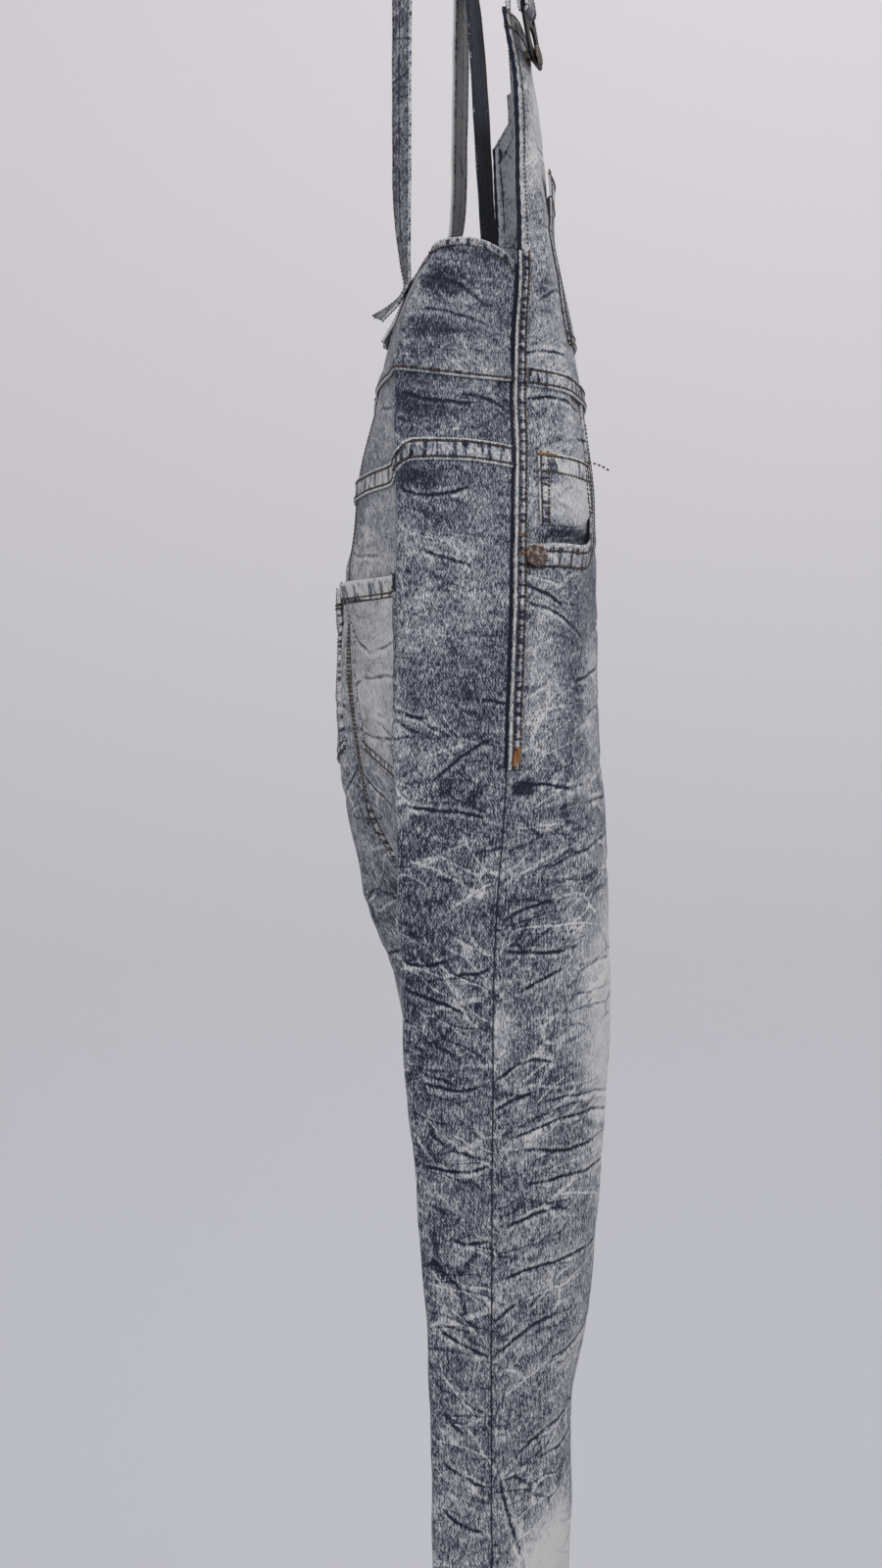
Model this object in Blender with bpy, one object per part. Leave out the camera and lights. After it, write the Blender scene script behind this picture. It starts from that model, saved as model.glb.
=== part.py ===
"""Denim dungarees hanging by their straps: cloth panels, patches, straps, buckles and buttons.

Tables and sizes are in millimetres and become metres when a mesh is made. +Z is up, the
front faces -Y and the wearer's right is -X. The origin lies level with the top of the
strap loops, where the garment is held.
"""
import math
from collections import namedtuple
from functools import lru_cache

import bmesh
import bpy
import numpy as np
from mathutils import Matrix

MM = 0.001
RIGHT, LEFT = -1, 1

# Cloth and seams
CLOTH = 1.6            # wall of one layer of denim
SEAM_GAP = 0.3         # between pieces that meet at a seam
LAYER_GAP = 0.6        # between a piece and the patch that lies on it
PATCH = 1.4            # wall of a patch, band or placket
STRAP_WIDTH = 30.0
STRAP_THICKNESS = 2.4

# Heights of the cut
CROTCH = -902.0
HEM = -1600.0
FORK = -911.0          # a leg's panel is three solids, parted level here and at the knee
KNEE = -1190.0
BACK_BIB_BOTTOM = -515.0
BIB_POCKET_TOP, BIB_POCKET_BOTTOM = -350.0, -480.0
POCKET_MOUTH = -636.0          # hip pocket's opening
FACING_BOTTOM = -672.0
FACING_CLEAR = 1.8             # between a front leg and the facing behind it
COIN_TOP, COIN_SLANT = -567.6, 3.0     # at its outer side, and its rise by station
BACK_POCKET_TOP, BACK_POCKET_BOTTOM = -657.0, -806.0
PLACKET_TOP, PLACKET_BOTTOM = -418.0, -800.0
PLACKET_WIDTH, PLACKET_INSET = 10.0, 0.3       # its far and near edge from the side seam
PLACKET_LIFT = 0.9
BAND_WIDTH = 16.5              # lapped band under the back yoke
BIB_BAND_WIDTH = 15.0
BIB_LAP = 8.0                  # the back bib's lower edge laps over the yoke
YOKE_TUCK = 5.0                # how far the yoke runs up behind that edge
HIP_BUTTON_HEIGHT = -646.0
HIP_BUTTON_FROM_SEAM = 16.5
BIB_BUTTON_HEIGHTS = {RIGHT: -270.0, LEFT: -316.0}
BIB_BUTTON_STATION = 1.75
BUTTON_SIDES = 14
BIB_BUTTON_SEAT, HIP_BUTTON_SEAT = 0.5, 0.8    # a button's base above the cloth

# How far a pocket's mouth stands off the cloth behind it, and how far down that reaches
HIP_GAPE, HIP_GAPE_DEPTH = 6.5, 42.0
BIB_GAPE, BIB_GAPE_DEPTH = 4.5, 46.0
BACK_GAPES, BACK_GAPE_DEPTH = {RIGHT: 8.0, LEFT: 3.0}, 40.0     # at its inner top corner
BACK_GAPE_OUTER = 0.8

# Stations count the knots of a section from the centre front round the side to the
# centre back: 0 centre or inseam, 1 front_in, 2 front_out, 3 side seam, 4 and 6 either
# side of the crease at 5, 7 hollow, 8 cheek, 9 centre or inseam.
SEAM, END = 3, 9
CREASE_ROUND = 10.0            # the crease is rounded this far to both sides
CENTRE_GUARD_TOP = -780.0      # below this height no piece may cross the centre plane

# Stations where a piece's edge runs
FACING_START = 0.8
BAND_END = 2.67
BIB_POCKET_SIDE = 1.25
COIN_INNER, COIN_OUTER = 1.35, 2.62
COIN_ABOVE_MOUTH = 14.0        # its lower edge above the hip pocket's mouth
STRAP_BACK_STATION = 8

Section = namedtuple("Section", "z front_in front_out seam crease hollow cheek")
SECTIONS = (
    Section(-1600, (-58, -68), (-95, -59), (-116, -20), (-119, 15), (-86, 14), (-58, 6)),
    Section(-1480, (-57, -75), (-98, -64), (-122, -19), (-125, 20), (-88, 18), (-56, 9)),
    Section(-1370, (-56, -79), (-101, -68), (-127, -18), (-130, 25), (-90, 22), (-55, 12)),
    Section(-1280, (-55, -80), (-103, -70), (-130, -17.5), (-133, 27), (-92, 24), (-54, 13)),
    Section(-1190, (-54, -94), (-106, -80), (-135, -17), (-139, 31), (-94, 28), (-52, 17)),
    Section(-1090, (-52, -103), (-110, -86), (-140, -17.5), (-145, 39), (-97, 36), (-50, 23)),
    Section(-1020, (-50, -108), (-113, -89), (-144, -17.5), (-149, 46), (-99, 43), (-48, 28)),
    Section(-950, (-50, -109), (-116, -89), (-147, -18), (-152, 49), (-100, 45), (-46, 32)),
    Section(-902, (-55, -109), (-120, -87), (-149, -20), (-154, 51), (-100, 47), (-46, 38)),
    Section(-850, (-62, -108), (-124, -85), (-151, -24), (-156, 53), (-104, 49), (-46, 49)),
    Section(-790, (-68, -104), (-126, -81), (-152, -27), (-157, 54), (-104, 51), (-43, 66)),
    Section(-720, (-67, -101), (-124, -79), (-150, -30), (-158, 53), (-104, 52), (-42, 76)),
    Section(-650, (-66, -100), (-118, -78), (-143, -32), (-158, 53), (-106, 52), (-46, 77)),
    Section(-575, (-63, -97), (-109, -75), (-128, -34), (-158, 53), (-112, 55), (-52, 71)),
    Section(-515, (-61, -88), (-97, -69), (-108, -35), (-156, 53), (-110, 58), (-50, 62)),
    Section(-470, (-59, -80), (-95, -65), (-106, -36), (-152, 46), (-105, 50), (-50, 53)),
    Section(-430, (-58, -73), (-94, -62), (-105, -38), (-146, 28), (-100, 34), (-50, 38)),
    Section(-400, (-58, -67), (-93, -58), (-105, -38), (-140, 18), (-100, 24), (-50, 30)),
    Section(-350, (-57, -61), (-92, -52), (-105, -37), (-136, 12), (-98, 20), (-50, 26)),
    Section(-300, (-56, -57), (-90, -48), (-105, -36), (-132, 8), (-96, 16), (-50, 22)),
    Section(-238, (-54, -46), (-86, -39), (-102, -27), (-128, 8), (-94, 16), (-50, 22)),
)

# How much fuller the left half's back is, in depth, and how its leg swings forward
Left = namedtuple("Left", "z hollow cheek swing")
LEFT_HALF = (
    Left(-1600, 0, 0, 9), Left(-1200, 0, 0, 11), Left(-1020, 3, 6, 11), Left(-975, 6, 14, 7),
    Left(-940, 10, 22, 3), Left(-902, 16, 29, 0), Left(-850, 19, 32, 0), Left(-790, 17, 24, 0),
    Left(-720, 12, 16, 0), Left(-650, 7, 10, 0), Left(-598, 0, 0, 0), Left(-238, 0, 0, 0),
)

# The centre seam: depth of its front and back at each height
Rise = namedtuple("Rise", "z front back")
RISE = (
    Rise(CROTCH, -18.3, -17.7), Rise(-890, -50, 14), Rise(-872, -71, 38), Rise(-856, -83, 51),
    Rise(-837, -93, 62), Rise(-810, -101, 72), Rise(-770, -104, 79), Rise(-720, -104, 84),
    Rise(-650, -103.5, 84), Rise(-612, -103, 79.5), Rise(-575, -102, 76), Rise(-515, -95.5, 62),
    Rise(-470, -86.5, 53), Rise(-430, -81, 40), Rise(-400, -75, 32), Rise(-350, -68, 28),
    Rise(-300, -63, 24), Rise(-238, -50, 24),
)

# The inseam of one leg below the crotch
Inseam = namedtuple("Inseam", "z x y")
INSEAM = (
    Inseam(-1600, -28, -22), Inseam(-1480, -26, -22), Inseam(-1370, -24, -23),
    Inseam(-1280, -22, -24), Inseam(-1190, -19, -27), Inseam(-1090, -16, -27),
    Inseam(-1020, -13, -25), Inseam(-950, -9, -22), Inseam(-915, -4, -20),
    Inseam(-902, -0.6, -18),
)

# Edges of the cut, as heights by station
Edge = namedtuple("Edge", "station z")
BACK_BIB_TOP = (Edge(3, -428), Edge(3.25, -418), Edge(3.5, -413.5), Edge(3.65, -413),
                Edge(4, -416), Edge(5, -421), Edge(7, -428), Edge(9, -430))
YOKE_SEAM = (Edge(3, -573.5), Edge(3.5, -569.5), Edge(4.5, -574.5), Edge(5.5, -584),
             Edge(9, -584))
BIB_SEAM = (Edge(0, -517), Edge(1, -516), Edge(3, -509))
BIB_TOP = (Edge(-3, -238), Edge(-2, -240), Edge(-1, -247), Edge(0, -256), Edge(1, -266),
           Edge(2, -278), Edge(3, -291))       # right side's stations count below 0
POCKET_EDGE = (Edge(0, -517), Edge(0.8, -517), Edge(1.0, -530), Edge(1.25, -590),
               Edge(1.5, -626), Edge(2, POCKET_MOUTH), Edge(3, POCKET_MOUTH))
BACK_POCKET_POINT = (Edge(5.35, 22), Edge(7, 0), Edge(8.4, 22))   # rise of its lower edge

FRONT_STATIONS = (0, 0.34, 0.67, 1, 1.25, 1.5, 1.75, 2, 2.33, 2.67, 3)
BACK_STATIONS = (3, 3.25, 3.5, 3.75, 4, 4.5, 5, 5.5, 6, 6.5, 7, 7.5, 8, 8.5, 9)
BACK_POCKET_STATIONS = (5.35, 5.7, 6, 6.5, 7, 7.5, 8, 8.4)


Finish = namedtuple("Finish", "color roughness metallic")
DENIM = Finish("8C95A3", 0.9, 0.0)
DENIM_DARK = Finish("5F6B7E", 0.9, 0.0)
DENIM_PALE = Finish("A9B0BA", 0.9, 0.0)
GUNMETAL = Finish("3A3B3E", 0.38, 1.0)
COPPER = Finish("7A6255", 0.42, 1.0)


# ---------------------------------------------------------------- form

class Curve:
    """A smooth curve through a table's rows that doesn't swing past them."""

    def __init__(self, rows):
        rows = sorted(rows, key=lambda row: row[0])
        self.at = np.array([row[0] for row in rows], float)
        flat = [np.concatenate([np.atleast_1d(value) for value in row[1:]]) for row in rows]
        self.values = np.array(flat, float)
        self.steps = np.diff(self.at)
        rises = np.diff(self.values, axis=0) / self.steps[:, None]
        self.slopes = np.zeros_like(self.values)
        self.slopes[0], self.slopes[-1] = rises[0], rises[-1]
        for i in range(1, len(self.at) - 1):
            self.slopes[i] = self.gentle(rises[i - 1], rises[i], self.steps[i - 1], self.steps[i])

    @staticmethod
    def gentle(before, after, step_before, step_after):
        """Slope at a row: the weighted harmonic mean, or 0 where the sign turns."""
        slope = np.zeros_like(before)
        same = before * after > 0
        w_before = 2 * step_after + step_before
        w_after = step_after + 2 * step_before
        slope[same] = (w_before + w_after) / (w_before / before[same] + w_after / after[same])
        return slope

    def __call__(self, at):
        i = int(np.clip(np.searchsorted(self.at, at) - 1, 0, len(self.steps) - 1))
        h = self.steps[i]
        t = min(max((at - self.at[i]) / h, 0.0), 1.0)
        return ((1 + 2 * t) * (1 - t) ** 2 * self.values[i]
                + t * (1 - t) ** 2 * h * self.slopes[i]
                + t * t * (3 - 2 * t) * self.values[i + 1]
                + t * t * (t - 1) * h * self.slopes[i + 1])


section_at = Curve(SECTIONS)
rise_at = Curve(RISE)
inseam_at = Curve(INSEAM)
left_half_at = Curve(LEFT_HALF)


def edge(rows):
    """Height of a cut edge as a function of the station."""
    curve = Curve(rows)
    return lambda station: float(curve(station)[0])


back_bib_top = edge(BACK_BIB_TOP)
yoke_seam = edge(YOKE_SEAM)
bib_seam = edge(BIB_SEAM)
bib_top = edge(BIB_TOP)
pocket_edge = edge(POCKET_EDGE)
back_pocket_point = edge(BACK_POCKET_POINT)


def ease(start, end, value):
    """0 at start, 1 at end, smooth between."""
    t = min(max((value - start) / (end - start), 0.0), 1.0)
    return t * t * (3 - 2 * t)


def unit(vector):
    return vector / np.linalg.norm(vector)


@lru_cache(maxsize=None)
def knots(z, side):
    """Knots of one half's section, mirrored to -X, with one more past each end."""
    front_in, front_out, seam, crease, hollow, cheek = section_at(z).reshape(-1, 2)
    if z >= CROTCH:
        front, back = rise_at(z)
        start, end = np.array([0.0, front]), np.array([0.0, back])
    else:
        start = inseam_at(z)
        end = start.copy()
    if side == LEFT:
        fuller_hollow, fuller_cheek, swing = left_half_at(z)
        hollow = hollow + (0.0, fuller_hollow)
        cheek = cheek + (0.0, fuller_cheek)
        points = (front_in, front_out, seam, crease, hollow, cheek, start, end)
        front_in, front_out, seam, crease, hollow, cheek, start, end = (
            point - (0.0, swing) for point in points)
    flip = np.array([-1.0, 1.0])
    closing = ease(-800, -895, z)
    before = (1 - closing) * front_in * flip + closing * cheek
    after = (1 - closing) * cheek * flip + closing * front_in
    crease_in = crease + CREASE_ROUND * unit(seam - crease)
    crease_out = crease + CREASE_ROUND * unit(hollow - crease)
    return np.array([before, start, front_in, front_out, seam, crease_in, crease, crease_out,
                     hollow, cheek, end, after])


@lru_cache(maxsize=None)
def on_section(z, station, side):
    """Point of the section at a station, by a centripetal spline through the knots."""
    points = knots(z, side)
    i = min(int(station), END - 1) + 1
    a, b, c, d = points[i - 1:i + 3]
    t1 = np.linalg.norm(b - a) ** 0.5
    t2 = t1 + np.linalg.norm(c - b) ** 0.5
    t3 = t2 + np.linalg.norm(d - c) ** 0.5
    t = t1 + (t2 - t1) * (station - (i - 1))
    ab = (t1 - t) / t1 * a + t / t1 * b
    bc = (t2 - t) / (t2 - t1) * b + (t - t1) / (t2 - t1) * c
    cd = (t3 - t) / (t3 - t2) * c + (t - t2) / (t3 - t2) * d
    left = (t2 - t) / t2 * ab + t / t2 * bc
    right = (t3 - t) / (t3 - t1) * bc + (t - t1) / (t3 - t1) * cd
    return (t2 - t) / (t2 - t1) * left + (t - t1) / (t2 - t1) * right


@lru_cache(maxsize=None)
def along(z, station, side):
    """Unit direction of the section at a station, shared by the pieces that meet there."""
    step = 0.02
    if 0 < station < END:
        return unit(on_section(z, station + step, side) - on_section(z, station - step, side))
    if z >= CROTCH:
        return np.array([-1.0, 0.0]) if station == 0 else np.array([1.0, 0.0])
    return unit(on_section(z, step, side) - on_section(z, END - step, side))


@lru_cache(maxsize=None)
def outward(z, station, side):
    """Unit normal of the form, pointing out of the garment."""
    if z == CROTCH and station in (0, END):
        return np.array([0.0, 0.0, -1.0])
    step = 1.0
    low = z - step if z - step >= CROTCH or z < CROTCH else z
    high = z + step if z + step < CROTCH or z >= CROTCH else z
    moved = on_section(high, station, side) - on_section(low, station, side)
    direction = np.append(along(z, station, side), 0.0)
    return unit(np.cross(np.append(moved, high - low), direction))


# Where a column of a panel's grid runs: its side, station and a shift along the section
Column = namedtuple("Column", "side station shift", defaults=(0.0,))


def form_point(column, z, lift):
    """Point of a column at a height, lifted off the form by so much."""
    side, station, shift = column
    ground = on_section(z, station, side) + shift * along(z, station, side)
    point = np.append(ground, z) + lift * outward(z, station, side)
    if station in (0, END) and shift and z >= CROTCH:
        point[0] = -SEAM_GAP / 2
    elif z < CENTRE_GUARD_TOP:
        point[0] = min(point[0], -SEAM_GAP / 2)
    return point if side == RIGHT else point * (-1, 1, 1)


def columns(side, stations, first=0.0, last=0.0):
    """Columns of one side, with a shift at the first and at the last one."""
    shifts = [first] + [0.0] * (len(stations) - 2) + [last]
    return [Column(side, station, shift) for station, shift in zip(stations, shifts)]


def both_sides(stations):
    """Columns of a piece cut in one over the centre: the right side's, then the left's."""
    right = [Column(RIGHT, station) for station in stations]
    left = [Column(LEFT, station) for station in stations if station not in (0, END)]
    return right + left[::-1]


# ---------------------------------------------------------------- meshes

def linear(channel):
    """One sRGB channel, 0 to 1, as a linear value."""
    return channel / 12.92 if channel <= 0.04045 else ((channel + 0.055) / 1.055) ** 2.4


def material(name, finish):
    made = bpy.data.materials.new(name)
    made.use_nodes = True
    shader = made.node_tree.nodes["Principled BSDF"]
    rgb = [linear(int(finish.color[i:i + 2], 16) / 255) for i in (0, 2, 4)]
    shader.inputs["Base Color"].default_value = (*rgb, 1.0)
    shader.inputs["Roughness"].default_value = finish.roughness
    shader.inputs["Metallic"].default_value = finish.metallic
    made.diffuse_color = (*rgb, 1.0)
    return made


def add_object(name, mesh, finish):
    made = bpy.data.objects.new(name, mesh)
    bpy.context.scene.collection.objects.link(made)
    mesh.materials.append(material(name + "_finish", finish))
    return made


def mesh_from(name, vertices, faces):
    """A closed mesh with its faces turned out and its quads split."""
    mesh = bpy.data.meshes.new(name)
    mesh.from_pydata([tuple(float(v) * MM for v in vertex) for vertex in vertices], [], faces)
    work = bmesh.new()
    work.from_mesh(mesh)
    bmesh.ops.recalc_face_normals(work, faces=work.faces)
    bmesh.ops.triangulate(work, faces=work.faces, quad_method="FIXED")
    work.to_mesh(mesh)
    work.free()
    mesh.shade_smooth()
    mesh.set_sharp_from_angle(angle=math.radians(50))
    return mesh


def wall(name, outer, inner, finish):
    """A closed wall between two grids of points of the same size."""
    rows, cols = len(outer), len(outer[0])
    half = rows * cols

    def at(row, col, side):
        return side * half + row * cols + col

    faces = []
    for side in (0, 1):
        for row in range(rows - 1):
            for col in range(cols - 1):
                faces.append((at(row, col, side), at(row, col + 1, side),
                              at(row + 1, col + 1, side), at(row + 1, col, side)))
    for row in (0, rows - 1):
        faces += [(at(row, col, 0), at(row, col + 1, 0), at(row, col + 1, 1), at(row, col, 1))
                  for col in range(cols - 1)]
    for col in (0, cols - 1):
        faces += [(at(row, col, 0), at(row + 1, col, 0), at(row + 1, col, 1), at(row, col, 1))
                  for row in range(rows - 1)]
    vertices = [point for grid in (outer, inner) for line in grid for point in line]
    return add_object(name, mesh_from(name, vertices, faces), finish)


def flat_lift(_z, _column):
    return 0.0


def panel(name, cols, heights, finish, lift=flat_lift, thickness=CLOTH):
    """A cloth wall on the form: heights(column) lists its rows from top to bottom."""
    rows = [heights(column) for column in cols]
    outer, inner = [], []
    for row in range(len(rows[0])):
        outer.append([])
        inner.append([])
        for column, levels in zip(cols, rows):
            z = levels[row]
            out = lift(z, column)
            outer[-1].append(form_point(column, z, out))
            inner[-1].append(form_point(column, z, out - thickness))
    return wall(name, outer, inner, finish)


def spread(top, bottom, count):
    """Heights from top to bottom in so many equal steps."""
    return [top + (bottom - top) * i / count for i in range(count + 1)]


def slanted(levels, top, still):
    """Levels whose first row moves to the height top; the next ones follow less, down to
    the height still, below which none moves."""
    first = levels[0]
    moved = []
    for level in levels:
        share = max(0.0, (level - still) / (first - still))
        moved.append(level + (top - first) * share)
    return moved


def patch_lift(_z, _column):
    """Outer face of a patch that lies flat on a panel."""
    return LAYER_GAP + PATCH


# ---------------------------------------------------------------- front

FRONT_LEG_TOP, BACK_LEG_TOP = -517.0, -575.0     # about: the panels' own edges slant
LEVEL_FROM = -700.0                               # a leg's rows run level below this
LEG_LEVELS = (spread(LEVEL_FROM, -845, 6) + [-860, -874, -889, CROTCH, -911]
              + spread(-930, KNEE, 7) + spread(KNEE, HEM, 9)[1:])


def leg_solids(name, cols, heights, lift=flat_lift):
    """A leg's panel as three solids, one above the other."""
    gap = SEAM_GAP / 2

    def add(part, above, below):
        def part_heights(column):
            inner = [z for z in heights(column) if below < z < above]
            first = [above - gap] if above < 0 else []
            return first + inner + [below + gap if below > HEM else HEM]

        panel(name + part, cols, part_heights, DENIM, lift)

    add("_top", 0.0, FORK)
    add("_thigh", FORK, KNEE)
    add("_shin", KNEE, HEM)


def front_leg_heights(column):
    """Rows of a front leg: its top runs under the bib, then down along the pocket's mouth."""
    top = pocket_edge(column.station) - SEAM_GAP / 2
    levels = spread(FRONT_LEG_TOP, LEVEL_FROM, 8)[:-1] + LEG_LEVELS
    return slanted(levels, top, LEVEL_FROM)


def pocket_gape(z, column):
    """How far the hip pocket's edge stands off the body."""
    across = ease(1.2, 1.9, column.station) * (1 - ease(2.35, 2.72, column.station))
    down = 1 - ease(0, HIP_GAPE_DEPTH, pocket_edge(column.station) - z)
    return HIP_GAPE * across * down


def facing_lift(z, column):
    """The pocket's facing lies level above the mouth and behind the leg below it."""
    behind = CLOTH + FACING_CLEAR
    above = ease(2, 12, z - pocket_edge(column.station))
    return -behind * (1 - above * ease(1.3, 1.7, column.station))


def add_front():
    gap = SEAM_GAP / 2
    bib_stations = FRONT_STATIONS[::-1]

    def bib_heights(column):
        return spread(bib_top(column.side * column.station), bib_seam(column.station) + gap, 12)

    panel("front_bib", both_sides(bib_stations), bib_heights, DENIM)
    for side, word in ((RIGHT, "right"), (LEFT, "left")):
        cols = columns(side, FRONT_STATIONS, gap, -gap)
        leg_solids("front_leg_" + word, cols, front_leg_heights, pocket_gape)
        stations = (FACING_START,) + FRONT_STATIONS[3:]

        def facing_heights(column):
            top = bib_seam(column.station) - gap
            return slanted(spread(FRONT_LEG_TOP, FACING_BOTTOM, 9), top, FACING_BOTTOM)

        panel("hip_facing_" + word, columns(side, stations, 0.0, -gap), facing_heights,
              DENIM_PALE, facing_lift)


def bib_band_heights(column):
    middle = bib_seam(column.station)
    return spread(middle + BIB_BAND_WIDTH / 2, middle - BIB_BAND_WIDTH / 2, 2)


def placket_station(z, distance):
    """Station on the front, so far from the side seam."""
    length = np.linalg.norm(on_section(z, SEAM, RIGHT) - on_section(z, SEAM - 0.3, RIGHT))
    return SEAM - 0.3 * distance / length


def add_front_patches():
    stations = (BAND_END,) + tuple(s for s in FRONT_STATIONS[::-1] if s < BAND_END)
    panel("bib_band", both_sides(stations), bib_band_heights, DENIM, patch_lift, PATCH)

    def pocket_lift(z, _column):
        down = 1 - ease(0, BIB_GAPE_DEPTH, BIB_POCKET_TOP - z)
        return LAYER_GAP + PATCH + BIB_GAPE * down

    pocket_stations = tuple(s for s in FRONT_STATIONS[::-1] if s <= BIB_POCKET_SIDE)
    panel("bib_pocket", both_sides(pocket_stations),
          lambda _column: spread(BIB_POCKET_TOP, BIB_POCKET_BOTTOM, 7), DENIM, pocket_lift,
          PATCH)

    between = tuple(s for s in FRONT_STATIONS if COIN_INNER < s < COIN_OUTER)
    coin_stations = (COIN_INNER,) + between + (COIN_OUTER,)

    def coin_heights(column):
        top = COIN_TOP + COIN_SLANT * (column.station - COIN_OUTER)
        bottom = max(pocket_edge(column.station), POCKET_MOUTH) + COIN_ABOVE_MOUTH
        return spread(top, bottom, 3)

    panel("coin_pocket", columns(RIGHT, coin_stations), coin_heights, DENIM_PALE, patch_lift,
          PATCH)


def add_plackets():
    """The buttoned side placket: a strip on the front's side edge, over bib and leg."""
    levels = spread(PLACKET_TOP, PLACKET_BOTTOM, 36)
    for side, word in ((RIGHT, "right"), (LEFT, "left")):
        outer, inner = [], []
        for z in levels:
            strip = [Column(side, placket_station(z, distance))
                     for distance in (PLACKET_WIDTH, PLACKET_INSET)]
            inner.append([form_point(column, z, PLACKET_LIFT) for column in strip])
            outer.append([form_point(column, z, PLACKET_LIFT + PATCH) for column in strip])
        wall("side_placket_" + word, outer, inner, DENIM)


# ---------------------------------------------------------------- back

def add_back():
    gap = SEAM_GAP / 2

    def bib_heights(column):
        lap_top = BACK_BIB_BOTTOM + 2 * BIB_LAP
        return (spread(back_bib_top(column.station), lap_top, 4)
                + [BACK_BIB_BOTTOM + BIB_LAP, BACK_BIB_BOTTOM])

    def bib_lift(z, _column):
        return (LAYER_GAP + CLOTH) * (1 - ease(BIB_LAP, 2 * BIB_LAP, z - BACK_BIB_BOTTOM))

    cols = both_sides(BACK_STATIONS)
    cols[0] = Column(RIGHT, SEAM, gap)
    cols[-1] = Column(LEFT, SEAM, gap)
    panel("back_bib", cols, bib_heights, DENIM, bib_lift)

    for side, word in ((RIGHT, "right"), (LEFT, "left")):
        cols = columns(side, BACK_STATIONS, gap, -gap)
        panel("back_yoke_" + word, cols,
              lambda column: spread(BACK_BIB_BOTTOM + YOKE_TUCK,
                                    yoke_seam(column.station) + gap, 4), DENIM)

        def leg_heights(column):
            levels = spread(BACK_LEG_TOP, LEVEL_FROM, 6)[:-1] + LEG_LEVELS
            return slanted(levels, yoke_seam(column.station) - gap, LEVEL_FROM)

        leg_solids("back_leg_" + word, cols, leg_heights)
        band = columns(side, BACK_STATIONS, gap + SEAM_GAP, -gap)
        panel("yoke_band_" + word, band,
              lambda column: spread(yoke_seam(column.station) + BAND_WIDTH / 2,
                                    yoke_seam(column.station) - BAND_WIDTH / 2, 2),
              DENIM, patch_lift, PATCH)
        add_back_pocket(side, word)


def add_back_pocket(side, word):
    """A patch pocket whose top edge gapes at its inner corner."""
    def lift(z, column):
        inner_corner = ease(6.6, BACK_POCKET_STATIONS[-1], column.station)
        down = 1 - ease(0, BACK_GAPE_DEPTH, BACK_POCKET_TOP - z)
        return LAYER_GAP + PATCH + (BACK_GAPE_OUTER + BACK_GAPES[side] * inner_corner) * down

    def heights(column):
        bottom = BACK_POCKET_BOTTOM + back_pocket_point(column.station)
        return spread(BACK_POCKET_TOP, bottom, 8)

    panel("back_pocket_" + word, columns(side, BACK_POCKET_STATIONS), heights, DENIM, lift,
          PATCH)


# ---------------------------------------------------------------- straps

# A point of a strap's middle line, and its width's turn from X towards Y in degrees
Stop = namedtuple("Stop", "x y z turn")

# The sewn end on the back bib, from the toe up: height, lift off the form, extra turn
STRAP_LIES = LAYER_GAP + STRAP_THICKNESS / 2 + 0.6
Sewn = namedtuple("Sewn", "z lift twist")
SEWN_END = (Sewn(-463, 13, 30), Sewn(-452, 6, 15), Sewn(-441, STRAP_LIES, 0),
            Sewn(-433, STRAP_LIES, 0))
TOE_LOOSE = {RIGHT: 1.0, LEFT: 0.2}

# The strap round the buckle's bar: forward of the bar and above it
Wrap = namedtuple("Wrap", "forward rise")
BUCKLE_WRAP = (Wrap(2.9, 40), Wrap(2.8, 20), Wrap(2.8, 4), Wrap(2.7, -1.5), Wrap(1.9, -3.9),
               Wrap(0, -4.7), Wrap(-1.9, -3.9), Wrap(-2.7, -1.5), Wrap(-2.6, 4),
               Wrap(-2.0, 10), Wrap(-1.3, 17), Wrap(-1.3, 30))

LOOP_X, LOOP_FRONT = 78.0, -44.0              # where the straps hang over the hold
LOOP_BACK = {RIGHT: 46.0, LEFT: -8.0}
LOOP_TALL = 1.25                              # a loop's height over its half width
LOOP_TURN = 0.4                               # share of its turn that a strap keeps there


def smooth_stops(stops, steps):
    """Middle line through the stops: so many points between each two."""
    values = np.array(stops, float)
    line = []
    padded = np.vstack([2 * values[0] - values[1], values, 2 * values[-1] - values[-2]])
    for i in range(1, len(padded) - 2):
        a, b, c, d = padded[i - 1:i + 3]
        for k in range(steps):
            t = k / steps
            line.append(0.5 * ((2 * b) + (c - a) * t + (2 * a - 5 * b + 4 * c - d) * t * t
                               + (3 * b - a - 3 * c + d) * t ** 3))
    line.append(values[-1])
    return np.array(line)


def ribbon(name, stops, steps, finish):
    """A strap of even width and thickness along the stops."""
    line = smooth_stops(stops, steps)
    centre, turns = line[:, :3], np.radians(line[:, 3])
    outer, inner = [], []
    tangents = np.gradient(centre, axis=0)
    for point, tangent, turn in zip(centre, tangents, turns):
        tangent = unit(tangent)
        across = np.array([math.cos(turn), math.sin(turn), 0.0])
        across = unit(across - tangent * across.dot(tangent))
        face = np.cross(across, tangent)
        edges = [point + across * STRAP_WIDTH * part for part in (-0.5, 0.5)]
        outer.append([place + face * STRAP_THICKNESS / 2 for place in edges])
        inner.append([place - face * STRAP_THICKNESS / 2 for place in edges])
    return wall(name, outer, inner, finish)


def sewn_stops(loose):
    """Lower end of a strap on the back bib; loose is how freely its toe stands off."""
    stops = []
    for z, lift, twist in SEWN_END:
        run = along(z, STRAP_BACK_STATION, RIGHT)
        turn = math.degrees(math.atan2(run[1], run[0])) + twist * loose
        lift = STRAP_LIES + (lift - STRAP_LIES) * loose
        stops.append(Stop(*form_point(Column(RIGHT, STRAP_BACK_STATION), z, lift), turn))
    return stops


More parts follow.
